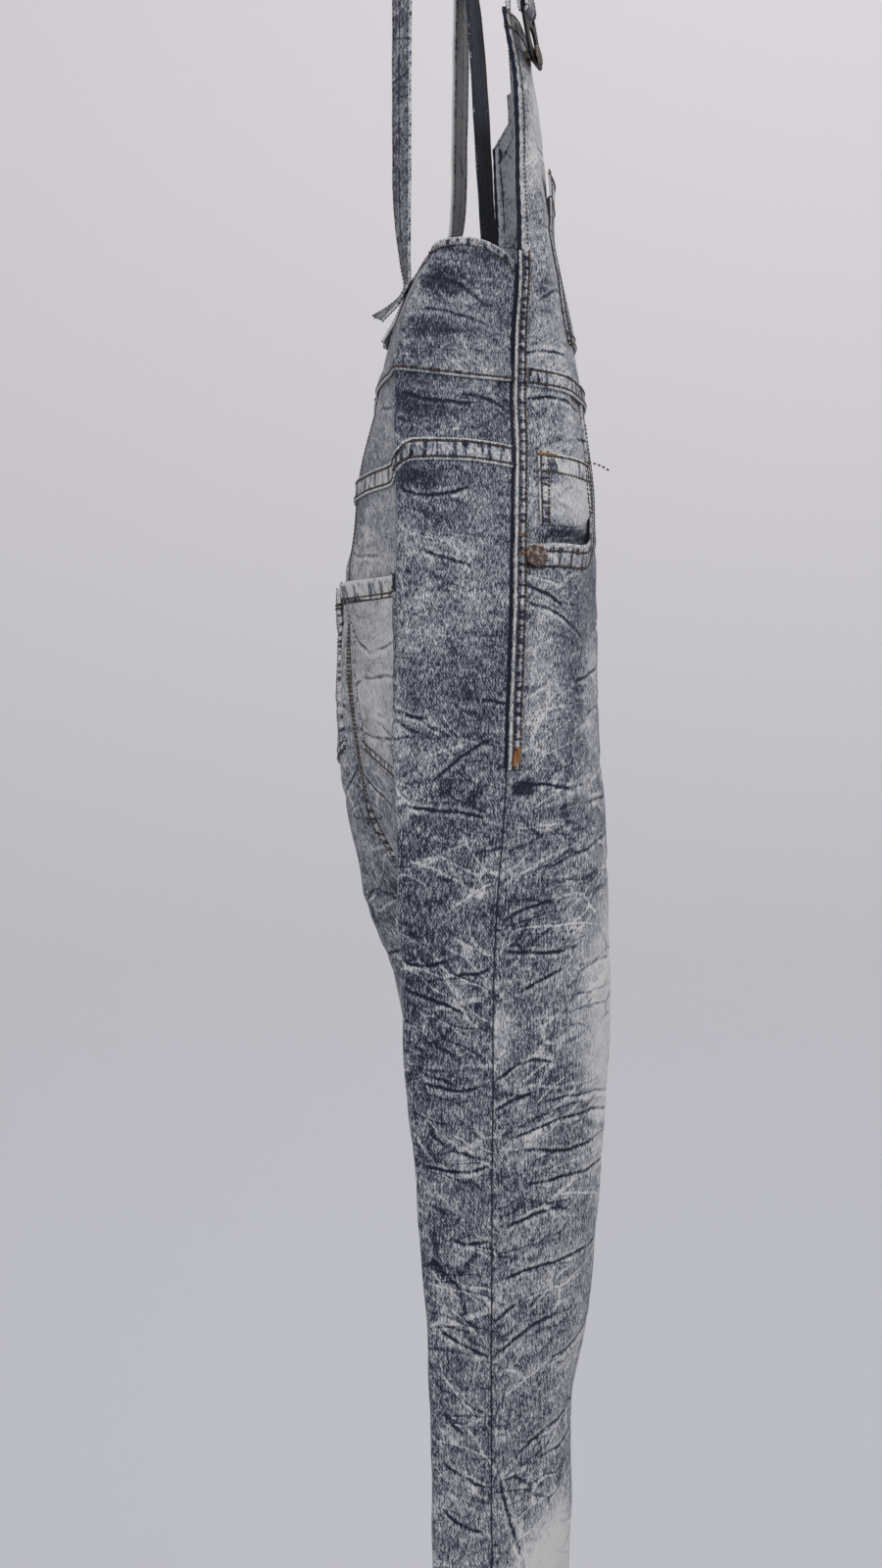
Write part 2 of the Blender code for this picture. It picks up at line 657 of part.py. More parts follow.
def loop_stops(side, turn):
    """Top of a strap from its back run over the hold to its front run."""
    middle, half = (LOOP_FRONT + LOOP_BACK[side]) / 2, (LOOP_BACK[side] - LOOP_FRONT) / 2
    stops = []
    for degrees in (0, 35, 65, 90, 115, 145, 180):
        angle = math.radians(degrees)
        height = -half * LOOP_TALL * (1 - math.sin(angle)) - STRAP_THICKNESS / 2
        kept = LOOP_TURN * max(math.cos(angle), 0.0)
        stops.append(Stop(side * LOOP_X, middle + half * math.cos(angle), height, turn * kept))
    return stops


def buckle_stops(side):
    """Front end of a strap: down to the buckle's bar, under it and up behind itself."""
    place, across, out, up = buckle_frame(side)
    bar = place + up * (BUCKLE_HEIGHT - BUCKLE_BAR) / 2
    turn = math.degrees(math.atan2(across[1], across[0]))
    return [Stop(*(bar + out * wrap.forward + up * wrap.rise), turn) for wrap in BUCKLE_WRAP]


def mirrored(stops):
    return [Stop(-stop.x, stop.y, stop.z, -stop.turn) for stop in stops]


def add_straps():
    right = (sewn_stops(TOE_LOOSE[RIGHT])
             + [Stop(-54, 43, -414, 10), Stop(-62, 45.5, -370, 22), Stop(-70, 46, -300, 24),
                Stop(-76, 46, -200, 24), Stop(-78, 46, -110, 16)]
             + loop_stops(RIGHT, 16)
             + [Stop(-78, -44.5, -120, 4)] + buckle_stops(RIGHT))
    ribbon("strap_right", right, 2, DENIM)

    left = (mirrored(sewn_stops(TOE_LOOSE[LEFT]))
            + [Stop(51, 41.0, -425, -3), Stop(53, 36, -418, -4), Stop(57, 24, -403, -6),
               Stop(68, 3, -382, -14), Stop(80, -5, -348, -24), Stop(88, -7, -280, -26),
               Stop(88, -8, -200, -26), Stop(82, -8, -110, -14)]
            + loop_stops(LEFT, -14)
            + [Stop(78, -45, -120, -4), Stop(79, -46, -190, -6)] + buckle_stops(LEFT))
    ribbon("strap_left", left, 2, DENIM)

    tail = [Stop(80, -11.6, -72, -8), Stop(80, -11.6, -110, -14), Stop(79, -13, -150, -22),
            Stop(77, -19, -200, -26), Stop(75, -24, -280, -28), Stop(74, -29, -370, -26),
            Stop(73, -32, -440, -24)]
    ribbon("strap_tail_left", tail, 3, DENIM_DARK)


# ---------------------------------------------------------------- buckles and buttons

BUCKLE_WIDTH, BUCKLE_HEIGHT, BUCKLE_THICKNESS = 40.0, 46.0, 2.0
BUCKLE_CORNER = 9.0
BUCKLE_BAR = 4.5
BUCKLE_LIFT = 6.5                         # from the bib to the plate's middle
SLOT_WIDTH, SLOT_HEIGHT, SLOT_CORNER = 31.6, 7.0, 2.0
CUTTER_DEPTH = 9.0
KEY_WIDE, KEY_NARROW, KEY_DROP = 9.0, 3.6, 14.0   # radii of the keyhole, its length
KEY_HEIGHT = -2.5                          # its centre above the plate's
STUD_BELOW_PLATE = 15.5                    # the stud below the plate's centre
STUD_NECK, STUD_CAP, STUD_BASE = 2.6, 8.0, 6.0


def rounded_outline(width, height, corner, steps=5):
    """Points of a rounded rectangle about the origin."""
    points = []
    for quarter in range(4):
        cx = (width / 2 - corner) * (1 if quarter in (0, 3) else -1)
        cy = (height / 2 - corner) * (1 if quarter in (0, 1) else -1)
        for k in range(steps + 1):
            angle = math.radians(90 * (quarter + k / steps))
            points.append((cx + corner * math.cos(angle), cy + corner * math.sin(angle)))
    return points


def keyhole_outline(wide, narrow, drop, steps=14):
    """Points of a keyhole: a wide round hole with a narrow round-ended slot below it."""
    start = math.asin(narrow / wide)
    points = []
    for k in range(steps + 1):
        angle = -math.pi / 2 + start + (2 * math.pi - 2 * start) * k / steps
        points.append((wide * math.cos(angle), wide * math.sin(angle)))
    for k in range(7):
        angle = math.pi + math.pi * k / 6
        points.append((narrow * math.cos(angle), -drop + narrow * math.sin(angle)))
    return points


def slab(name, outline, thickness):
    """A flat mesh of the outline, standing upright with its faces to -Y and +Y."""
    count = len(outline)
    vertices = [(x, side * thickness / 2, z) for side in (-1, 1) for x, z in outline]
    faces = [tuple(range(count)), tuple(range(2 * count - 1, count - 1, -1))]
    faces += [(i, (i + 1) % count, (i + 1) % count + count, i + count) for i in range(count)]
    mesh = bpy.data.meshes.new(name)
    mesh.from_pydata([tuple(value * MM for value in vertex) for vertex in vertices], [], faces)
    work = bmesh.new()
    work.from_mesh(mesh)
    bmesh.ops.recalc_face_normals(work, faces=work.faces)
    work.to_mesh(mesh)
    work.free()
    return mesh


def cut(target, outline, place):
    """Cut a hole of the outline through an object."""
    name = target.name + "_cutter"
    cutter = bpy.data.objects.new(name, slab(name, outline, CUTTER_DEPTH))
    bpy.context.scene.collection.objects.link(cutter)
    cutter.parent = target
    cutter.location = [value * MM for value in place]
    cutter.hide_render = True
    cutter.display_type = "WIRE"
    hole = target.modifiers.new("hole", "BOOLEAN")
    hole.operation = "DIFFERENCE"
    hole.object = cutter


def surface_frame(column, z, lift=flat_lift):
    """Point of a lifted surface and its outward normal there."""
    here = form_point(column, z, lift(z, column))
    beside = column._replace(station=column.station + 0.03)
    across = form_point(beside, z, lift(z, beside)) - here
    above = form_point(column, z + 1.0, lift(z + 1.0, column)) - here
    normal = unit(np.cross(above, across))
    return here, normal if column.side == RIGHT else -normal


def buckle_frame(side):
    """Centre of a buckle's plate, its direction across, outward and up."""
    point, out = surface_frame(Column(side, BIB_BUTTON_STATION), BIB_BUTTON_HEIGHTS[side])
    across = unit(np.cross(out, np.array([0.0, 0.0, 1.0])) * -1)
    up = np.cross(across, -out)
    return point + out * BUCKLE_LIFT + up * STUD_BELOW_PLATE, across, out, up


def add_buckle(side, word):
    """A dungaree buckle: a plate with a slot for the strap and a keyhole for the stud."""
    outline = rounded_outline(BUCKLE_WIDTH, BUCKLE_HEIGHT, BUCKLE_CORNER)
    plate = add_object("buckle_" + word, slab("buckle_" + word, outline, BUCKLE_THICKNESS),
                       GUNMETAL)
    slot_z = BUCKLE_HEIGHT / 2 - BUCKLE_BAR - SLOT_HEIGHT / 2
    cut(plate, rounded_outline(SLOT_WIDTH, SLOT_HEIGHT, SLOT_CORNER, 3), (0, 0, slot_z))
    cut(plate, keyhole_outline(KEY_WIDE, KEY_NARROW, KEY_DROP), (0, 0, KEY_HEIGHT))
    place, across, out, up = buckle_frame(side)
    plate.matrix_world = Matrix([(across[i], -out[i], up[i], place[i] * MM) for i in range(3)]
                                + [(0, 0, 0, 1)])


def turned(name, profile, place, direction, finish):
    """A button turned from (radius, height) pairs, standing on a place along a direction."""
    first = unit(np.cross(direction, np.array([0.0, 0.0, 1.0])))
    second = np.cross(direction, first)
    vertices, faces = [], []
    for radius, height in profile:
        for k in range(BUTTON_SIDES):
            angle = 2 * math.pi * k / BUTTON_SIDES
            spoke = first * math.cos(angle) + second * math.sin(angle)
            vertices.append(place + direction * height + spoke * radius)
    last = len(vertices) - BUTTON_SIDES
    for ring in range(0, last, BUTTON_SIDES):
        for k in range(BUTTON_SIDES):
            here, beside = ring + k, ring + (k + 1) % BUTTON_SIDES
            faces.append((here, beside, beside + BUTTON_SIDES, here + BUTTON_SIDES))
    faces.append(tuple(range(BUTTON_SIDES)))
    faces.append(tuple(range(last, last + BUTTON_SIDES)))
    return add_object(name, mesh_from(name, vertices, faces), finish)


# Buttons as (radius, height above the base)
STUD_PROFILE = ((STUD_BASE, 0.0), (STUD_BASE, 1.0), (STUD_NECK, 1.4), (STUD_NECK, 7.6),
                (STUD_CAP, 8.2), (STUD_CAP, 9.4), (STUD_CAP * 0.85, 10.2),
                (STUD_CAP * 0.5, 10.4))
HIP_PROFILE = ((3.0, 0.0), (3.0, 2.2), (8.5, 2.6), (8.5, 3.6), (7.6, 4.3), (6.2, 4.1),
               (3.0, 4.4))


def add_hardware():
    for side, word in ((RIGHT, "right"), (LEFT, "left")):
        add_buckle(side, word)
        point, normal = surface_frame(Column(side, BIB_BUTTON_STATION),
                                      BIB_BUTTON_HEIGHTS[side])
        turned("bib_button_" + word, STUD_PROFILE, point + normal * BIB_BUTTON_SEAT, normal,
               COPPER)
        station = placket_station(HIP_BUTTON_HEIGHT, HIP_BUTTON_FROM_SEAM)
        point, normal = surface_frame(Column(side, station), HIP_BUTTON_HEIGHT, pocket_gape)
        turned("hip_button_" + word, HIP_PROFILE, point + normal * HIP_BUTTON_SEAT, normal,
               COPPER)


def main():
    for old in list(bpy.data.objects):
        bpy.data.objects.remove(old, do_unlink=True)
    add_front()
    add_front_patches()
    add_plackets()
    add_back()
    add_straps()
    add_hardware()


main()
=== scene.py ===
"""Dresses the denim dungarees: crinkled acid-washed cloth, stitching, buckles and buttons.

Sizes are in millimetres and become metres when a mesh is made. +Z is up, the garment's
front faces -Y and the wearer's right is -X, as in the solids that the cloth replaces.
"""

import logging
import math
from collections import namedtuple
from collections.abc import Callable, Sequence
from dataclasses import dataclass, field, replace
from enum import Enum

import bpy
import numpy as np
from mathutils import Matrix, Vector

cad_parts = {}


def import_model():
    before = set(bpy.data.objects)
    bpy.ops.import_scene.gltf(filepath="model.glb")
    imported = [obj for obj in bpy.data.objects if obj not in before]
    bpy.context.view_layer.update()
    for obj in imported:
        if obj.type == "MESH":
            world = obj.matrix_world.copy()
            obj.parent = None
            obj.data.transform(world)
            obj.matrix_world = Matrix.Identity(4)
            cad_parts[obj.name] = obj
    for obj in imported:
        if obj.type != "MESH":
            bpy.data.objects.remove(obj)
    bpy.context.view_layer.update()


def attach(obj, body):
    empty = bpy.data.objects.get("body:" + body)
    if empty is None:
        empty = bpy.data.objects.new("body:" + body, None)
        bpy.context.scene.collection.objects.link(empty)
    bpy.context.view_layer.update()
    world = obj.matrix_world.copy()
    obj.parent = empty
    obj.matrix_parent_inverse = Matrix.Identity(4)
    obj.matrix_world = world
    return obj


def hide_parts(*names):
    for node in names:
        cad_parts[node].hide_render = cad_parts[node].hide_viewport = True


LOG = logging.getLogger("dungarees")
MM = 0.001
FAR = 30.0               # mm; a distance at which an edge or a row leaves no mark

Array = np.ndarray
Socket = bpy.types.NodeSocket
Material = bpy.types.Material


class Side(Enum):
    """A half of the garment, as the wearer has it; its value is the sign of its x."""

    RIGHT = -1
    LEFT = 1

    @property
    def word(self) -> str:
        """The side's name as the nodes spell it."""
        return self.name.lower()


# -------------------- the form

CLOTH, PATCH = 1.6, 1.4          # walls of a panel and of a patch
SEAM_GAP, LAYER_GAP = 0.3, 0.6   # between pieces at a seam, and under a patch
STRAP_WIDTH, STRAP_THICKNESS = 30.0, 2.4
CROTCH, HEM = -902.0, -1600.0
BACK_BIB_BOTTOM = -515.0
BIB_POCKET_TOP, BIB_POCKET_BOTTOM = -350.0, -480.0
POCKET_MOUTH, FACING_BOTTOM, FACING_CLEAR = -636.0, -672.0, 1.8
COIN_TOP, COIN_SLANT, COIN_ABOVE_MOUTH = -567.6, 3.0, 14.0
BACK_POCKET_TOP, BACK_POCKET_BOTTOM = -657.0, -806.0
PLACKET_TOP, PLACKET_BOTTOM, PLACKET_LIFT = -418.0, -800.0, 0.9
PLACKET_WIDTH, PLACKET_INSET = 10.0, 0.3
BAND_WIDTH, BIB_BAND_WIDTH = 16.5, 15.0
BIB_LAP, YOKE_TUCK = 8.0, 5.0
HIP_BUTTON_HEIGHT, HIP_BUTTON_FROM_SEAM = -646.0, 16.5
BIB_BUTTON_HEIGHTS = {Side.RIGHT: -270.0, Side.LEFT: -316.0}
BIB_BUTTON_STATION = 1.75
BIB_BUTTON_SEAT, HIP_BUTTON_SEAT = 0.5, 0.8
HIP_GAPE, HIP_GAPE_DEPTH = 6.5, 42.0
BIB_GAPE, BIB_GAPE_DEPTH = 4.5, 46.0
BACK_GAPES, BACK_GAPE_DEPTH, BACK_GAPE_OUTER = {Side.RIGHT: 8.0, Side.LEFT: 3.0}, 40.0, 0.8

# Stations count the knots of a section: 0 centre front or inseam, 3 side seam, 5 the
# crease, 9 centre back or inseam.
SEAM, END = 3.0, 9.0
CREASE_ROUND = 10.0
CENTRE_GUARD_TOP = -780.0
LEVEL_FROM = -700.0               # a leg's rows run level below this
FACING_START, BAND_END, BIB_POCKET_SIDE = 0.8, 2.7, 1.25
COIN_INNER, COIN_OUTER = 1.35, 2.62
BACK_POCKET_OUTER, BACK_POCKET_INNER = 5.35, 8.4
STRAP_BACK_STATION = 8.0

# The right half's section at each height: its height, then x and y of the front's inner and
# outer knots, the side seam, the crease, the hollow and the cheek
SECTIONS = (
    (-1600, (-58, -68), (-95, -59), (-116, -20), (-119, 15), (-86, 14), (-58, 6)),
    (-1480, (-57, -75), (-98, -64), (-122, -19), (-125, 20), (-88, 18), (-56, 9)),
    (-1370, (-56, -79), (-101, -68), (-127, -18), (-130, 25), (-90, 22), (-55, 12)),
    (-1280, (-55, -80), (-103, -70), (-130, -17.5), (-133, 27), (-92, 24), (-54, 13)),
    (-1190, (-54, -94), (-106, -80), (-135, -17), (-139, 31), (-94, 28), (-52, 17)),
    (-1090, (-52, -103), (-110, -86), (-140, -17.5), (-145, 39), (-97, 36), (-50, 23)),
    (-1020, (-50, -108), (-113, -89), (-144, -17.5), (-149, 46), (-99, 43), (-48, 28)),
    (-950, (-50, -109), (-116, -89), (-147, -18), (-152, 49), (-100, 45), (-46, 32)),
    (-902, (-55, -109), (-120, -87), (-149, -20), (-154, 51), (-100, 47), (-46, 38)),
    (-850, (-62, -108), (-124, -85), (-151, -24), (-156, 53), (-104, 49), (-46, 49)),
    (-790, (-68, -104), (-126, -81), (-152, -27), (-157, 54), (-104, 51), (-43, 66)),
    (-720, (-67, -101), (-124, -79), (-150, -30), (-158, 53), (-104, 52), (-42, 76)),
    (-650, (-66, -100), (-118, -78), (-143, -32), (-158, 53), (-106, 52), (-46, 77)),
    (-575, (-63, -97), (-109, -75), (-128, -34), (-158, 53), (-112, 55), (-52, 71)),
    (-515, (-61, -88), (-97, -69), (-108, -35), (-156, 53), (-110, 58), (-50, 62)),
    (-470, (-59, -80), (-95, -65), (-106, -36), (-152, 46), (-105, 50), (-50, 53)),
    (-430, (-58, -73), (-94, -62), (-105, -38), (-146, 28), (-100, 34), (-50, 38)),
    (-400, (-58, -67), (-93, -58), (-105, -38), (-140, 18), (-100, 24), (-50, 30)),
    (-350, (-57, -61), (-92, -52), (-105, -37), (-136, 12), (-98, 20), (-50, 26)),
    (-300, (-56, -57), (-90, -48), (-105, -36), (-132, 8), (-96, 16), (-50, 22)),
    (-238, (-54, -46), (-86, -39), (-102, -27), (-128, 8), (-94, 16), (-50, 22)),
)

# How much fuller the left half's back is, and how its leg swings forward: height, then depth
# added at the hollow and at the cheek, and the swing
LEFT_HALF = (
    (-1600, 0, 0, 9), (-1200, 0, 0, 11), (-1020, 3, 6, 11), (-975, 6, 14, 7), (-940, 10, 22, 3),
    (-902, 16, 29, 0), (-850, 19, 32, 0), (-790, 17, 24, 0), (-720, 12, 16, 0),
    (-650, 7, 10, 0), (-598, 0, 0, 0), (-238, 0, 0, 0),
)

# The centre seam: height, then y of its front and of its back
RISE = (
    (CROTCH, -18.3, -17.7), (-890, -50, 14), (-872, -71, 38), (-856, -83, 51), (-837, -93, 62),
    (-810, -101, 72), (-770, -104, 79), (-720, -104, 84), (-650, -103.5, 84),
    (-612, -103, 79.5), (-575, -102, 76), (-515, -95.5, 62), (-470, -86.5, 53),
    (-430, -81, 40), (-400, -75, 32), (-350, -68, 28), (-300, -63, 24), (-238, -50, 24),
)

# The inseam of one leg below the crotch: height, x and y
INSEAM = (
    (-1600, -28, -22), (-1480, -26, -22), (-1370, -24, -23), (-1280, -22, -24),
    (-1190, -19, -27), (-1090, -16, -27), (-1020, -13, -25), (-950, -9, -22),
    (-915, -4, -20), (-902, -0.6, -18),
)


def ease(start: float, end: float, value: Array | float) -> Array | float:
    """0 at start, 1 at end, smooth between."""
    t = np.clip((value - start) / (end - start), 0.0, 1.0)
    return t * t * (3 - 2 * t)


def unit(vectors: Array) -> Array:
    """Vectors of length one, along the last axis."""
    return vectors / np.linalg.norm(vectors, axis=-1, keepdims=True)


def run_along(line: Array) -> Array:
    """The length to each of a line's points from its first."""
    steps = np.linalg.norm(np.diff(line, axis=0), axis=1)
    return np.concatenate([[0], np.cumsum(steps)])


class Curve:
    """A smooth curve through a table's rows that doesn't swing past them."""

    def __init__(self, rows: Sequence[tuple]) -> None:
        """Reads the rows, whose first column is where they lie."""
        rows = sorted(rows, key=lambda row: row[0])
        self.at = np.array([row[0] for row in rows], float)
        flat = [np.concatenate([np.atleast_1d(value) for value in row[1:]]) for row in rows]
        self.values = np.array(flat, float)
        self.steps = np.diff(self.at)
        rises = np.diff(self.values, axis=0) / self.steps[:, None]
        self.slopes = np.zeros_like(self.values)
        self.slopes[0], self.slopes[-1] = rises[0], rises[-1]
        for i in range(1, len(self.at) - 1):
            before, after = rises[i - 1], rises[i]
            same = before * after > 0
            w_before = 2 * self.steps[i] + self.steps[i - 1]
            w_after = self.steps[i] + 2 * self.steps[i - 1]
            self.slopes[i][same] = ((w_before + w_after)
                                    / (w_before / before[same] + w_after / after[same]))

    def __call__(self, at: Array | float) -> Array:
        """The table's values at each place, on a new last axis."""
        at = np.asarray(at, float)
        i = np.clip(np.searchsorted(self.at, at) - 1, 0, len(self.steps) - 1)
        h = self.steps[i][..., None]
        t = np.clip((at[..., None] - self.at[i][..., None]) / h, 0.0, 1.0)
        return ((1 + 2 * t) * (1 - t) ** 2 * self.values[i]
                + t * (1 - t) ** 2 * h * self.slopes[i]
                + t * t * (3 - 2 * t) * self.values[i + 1]
                + t * t * (t - 1) * h * self.slopes[i + 1])

    def height(self, station: Array | float) -> Array:
        """The first value alone, for an edge of the cut."""
        return self(station)[..., 0]


class Form:
    """The garment's own shape, as points found by side, station and height."""

    section = Curve(SECTIONS)
    rise = Curve(RISE)
    inseam = Curve(INSEAM)
    left_half = Curve(LEFT_HALF)

    @classmethod
    def knots(cls, z: Array, side: Side) -> Array:
        """Knots of one half's sections, mirrored to -X, with one more past each end."""
        front_in, front_out, seam, crease, hollow, cheek = np.moveaxis(
            cls.section(z).reshape(z.shape + (6, 2)), -2, 0)
        rise = cls.rise(z)
        nought = np.zeros_like(z)
        above = (z >= CROTCH)[..., None]
        start = np.where(above, np.stack([nought, rise[..., 0]], -1), cls.inseam(z))
        end = np.where(above, np.stack([nought, rise[..., 1]], -1), cls.inseam(z))
        if side is Side.LEFT:
            fuller_hollow, fuller_cheek, swing = np.moveaxis(cls.left_half(z), -1, 0)
            hollow = hollow + np.stack([nought, fuller_hollow], -1)
            cheek = cheek + np.stack([nought, fuller_cheek], -1)
            shift = np.stack([nought, swing], -1)
            points = (front_in, front_out, seam, crease, hollow, cheek, start, end)
            front_in, front_out, seam, crease, hollow, cheek, start, end = (
                point - shift for point in points)
        flip = np.array([-1.0, 1.0])
        closing = ease(-800, -895, z)[..., None]
        before = (1 - closing) * front_in * flip + closing * cheek
        after = (1 - closing) * cheek * flip + closing * front_in
        crease_in = crease + CREASE_ROUND * unit(seam - crease)
        crease_out = crease + CREASE_ROUND * unit(hollow - crease)
        return np.stack([before, start, front_in, front_out, seam, crease_in, crease,
                         crease_out, hollow, cheek, end, after], axis=-2)

    @classmethod
    def on_section(cls, z: Array, station: Array, side: Side) -> Array:
        """Points of the sections, by a centripetal spline through their knots."""
        points = cls.knots(z, side)
        i = np.clip(np.floor(station), 0, END - 1).astype(int)
        a, b, c, d = (np.take_along_axis(points, (i + k)[..., None, None], axis=-2)[..., 0, :]
                      for k in range(4))
        t1 = np.linalg.norm(b - a, axis=-1, keepdims=True) ** 0.5
        t2 = t1 + np.linalg.norm(c - b, axis=-1, keepdims=True) ** 0.5
        t3 = t2 + np.linalg.norm(d - c, axis=-1, keepdims=True) ** 0.5
        t = t1 + (t2 - t1) * (station - i)[..., None]
        ab = (t1 - t) / t1 * a + t / t1 * b
        bc = (t2 - t) / (t2 - t1) * b + (t - t1) / (t2 - t1) * c
        cd = (t3 - t) / (t3 - t2) * c + (t - t2) / (t3 - t2) * d
        left = (t2 - t) / t2 * ab + t / t2 * bc
        right = (t3 - t) / (t3 - t1) * bc + (t - t1) / (t3 - t1) * cd
        return (t2 - t) / (t2 - t1) * left + (t - t1) / (t2 - t1) * right

    @classmethod
    def along(cls, z: Array, station: Array, side: Side) -> Array:
        """Unit directions of the sections, shared by the pieces that meet at a station."""
        step = 0.02          # of a station
        inner = unit(cls.on_section(z, station + step, side)
                     - cls.on_section(z, station - step, side))
        closed = unit(cls.on_section(z, np.full_like(z, step), side)
                      - cls.on_section(z, np.full_like(z, END - step), side))
        across = np.where((station <= 0)[..., None], (-1.0, 0.0), (1.0, 0.0))
        at_end = np.where((z >= CROTCH)[..., None], across, closed)
        inside = (station > 0) & (station < END)
        return np.where(inside[..., None], inner, at_end)

    @classmethod
    def outward(cls, z: Array, station: Array, side: Side) -> Array:
        """Unit normals of the form, pointing out of the garment."""
        step = 1.0           # of height
        low = np.where((z - step < CROTCH) & (z >= CROTCH), z, z - step)
        high = np.where((z + step >= CROTCH) & (z < CROTCH), z, z + step)
        moved = cls.on_section(high, station, side) - cls.on_section(low, station, side)
        upward = np.concatenate([moved, (high - low)[..., None]], axis=-1)
        sideways = cls.along(z, station, side)
        sideways = np.concatenate([sideways, np.zeros_like(z)[..., None]], axis=-1)
        return unit(np.cross(upward, sideways))

    @classmethod
    def point(cls, z: Array, station: Array, side: Side, lift: Array | float,
              shift: Array | float = 0.0, guard: bool = True) -> Array:
        """Points of one half, lifted off the form.

        Args:
            z: heights.
            station: stations, of the same shape.
            side: the half, whose x the points get.
            lift: how far out of the form, or inwards below 0.
            shift: a move along the section, for the gap at a seam.
            guard: keeps the points off the centre plane below the seat.

        Returns:
            The points, on a new last axis.
        """
        ground = cls.on_section(z, station, side)
        ground = ground + np.asarray(shift)[..., None] * cls.along(z, station, side)
        points = np.concatenate([ground, z[..., None]], axis=-1)
        points = points + np.asarray(lift)[..., None] * cls.outward(z, station, side)
        at_end = (station <= 0) | (station >= END)
        kept = at_end | (z < CENTRE_GUARD_TOP)
        if guard:
            points[..., 0] = np.where(kept, np.minimum(points[..., 0], -SEAM_GAP / 2),
                                      points[..., 0])
        return points if side is Side.RIGHT else points * (-1, 1, 1)


def edge(*rows: tuple[float, float]) -> Callable:
    """An edge of the cut, smooth through (station, height) pairs."""
    return Curve(rows).height


back_bib_top = edge((3, -428), (3.25, -418), (3.5, -413.5), (3.65, -413), (4, -416), (5, -421),
                    (7, -428), (9, -430))
yoke_seam = edge((3, -573.5), (3.5, -569.5), (4.5, -574.5), (5.5, -584), (9, -584))
bib_seam = edge((0, -517), (1, -516), (3, -509))
bib_top = edge((-3, -238), (-2, -240), (-1, -247), (0, -256), (1, -266), (2, -278),
               (3, -291))             # the right side's stations count below 0
pocket_edge = edge((0, -517), (0.8, -517), (1.0, -530), (1.25, -590), (1.5, -626),
                   (2, POCKET_MOUTH), (3, POCKET_MOUTH))
back_pocket_point = edge((5.35, 22), (7, 0), (8.4, 22))     # rise of its lower edge


# -------------------- creases

@dataclass(frozen=True)
class Crease:
    """One crease, from station s0 and height z0 to s1 and z1."""

    s0: float
    z0: float
    s1: float
    z1: float
    sag: float          # how far its middle lies above the straight line
    depth: float        # of the soft trough
    width: float
    dye: float          # how dark its line is; below 0 it is a pale, worn one

    steps = 60          # in which its length is measured

    def shares(self, station: Array, side: Side) -> tuple[Array, float]:
        """How far along the crease each station lies, 0 to 1, and its length across."""
        fine = np.linspace(min(self.s0, self.s1), max(self.s0, self.s1), self.steps)
        line = Form.on_section(np.full(fine.shape, (self.z0 + self.z1) / 2), fine, side)
        run = run_along(line)
        share = np.interp(station, fine, run / run[-1])
        return (share if self.s0 < self.s1 else 1 - share), float(run[-1])


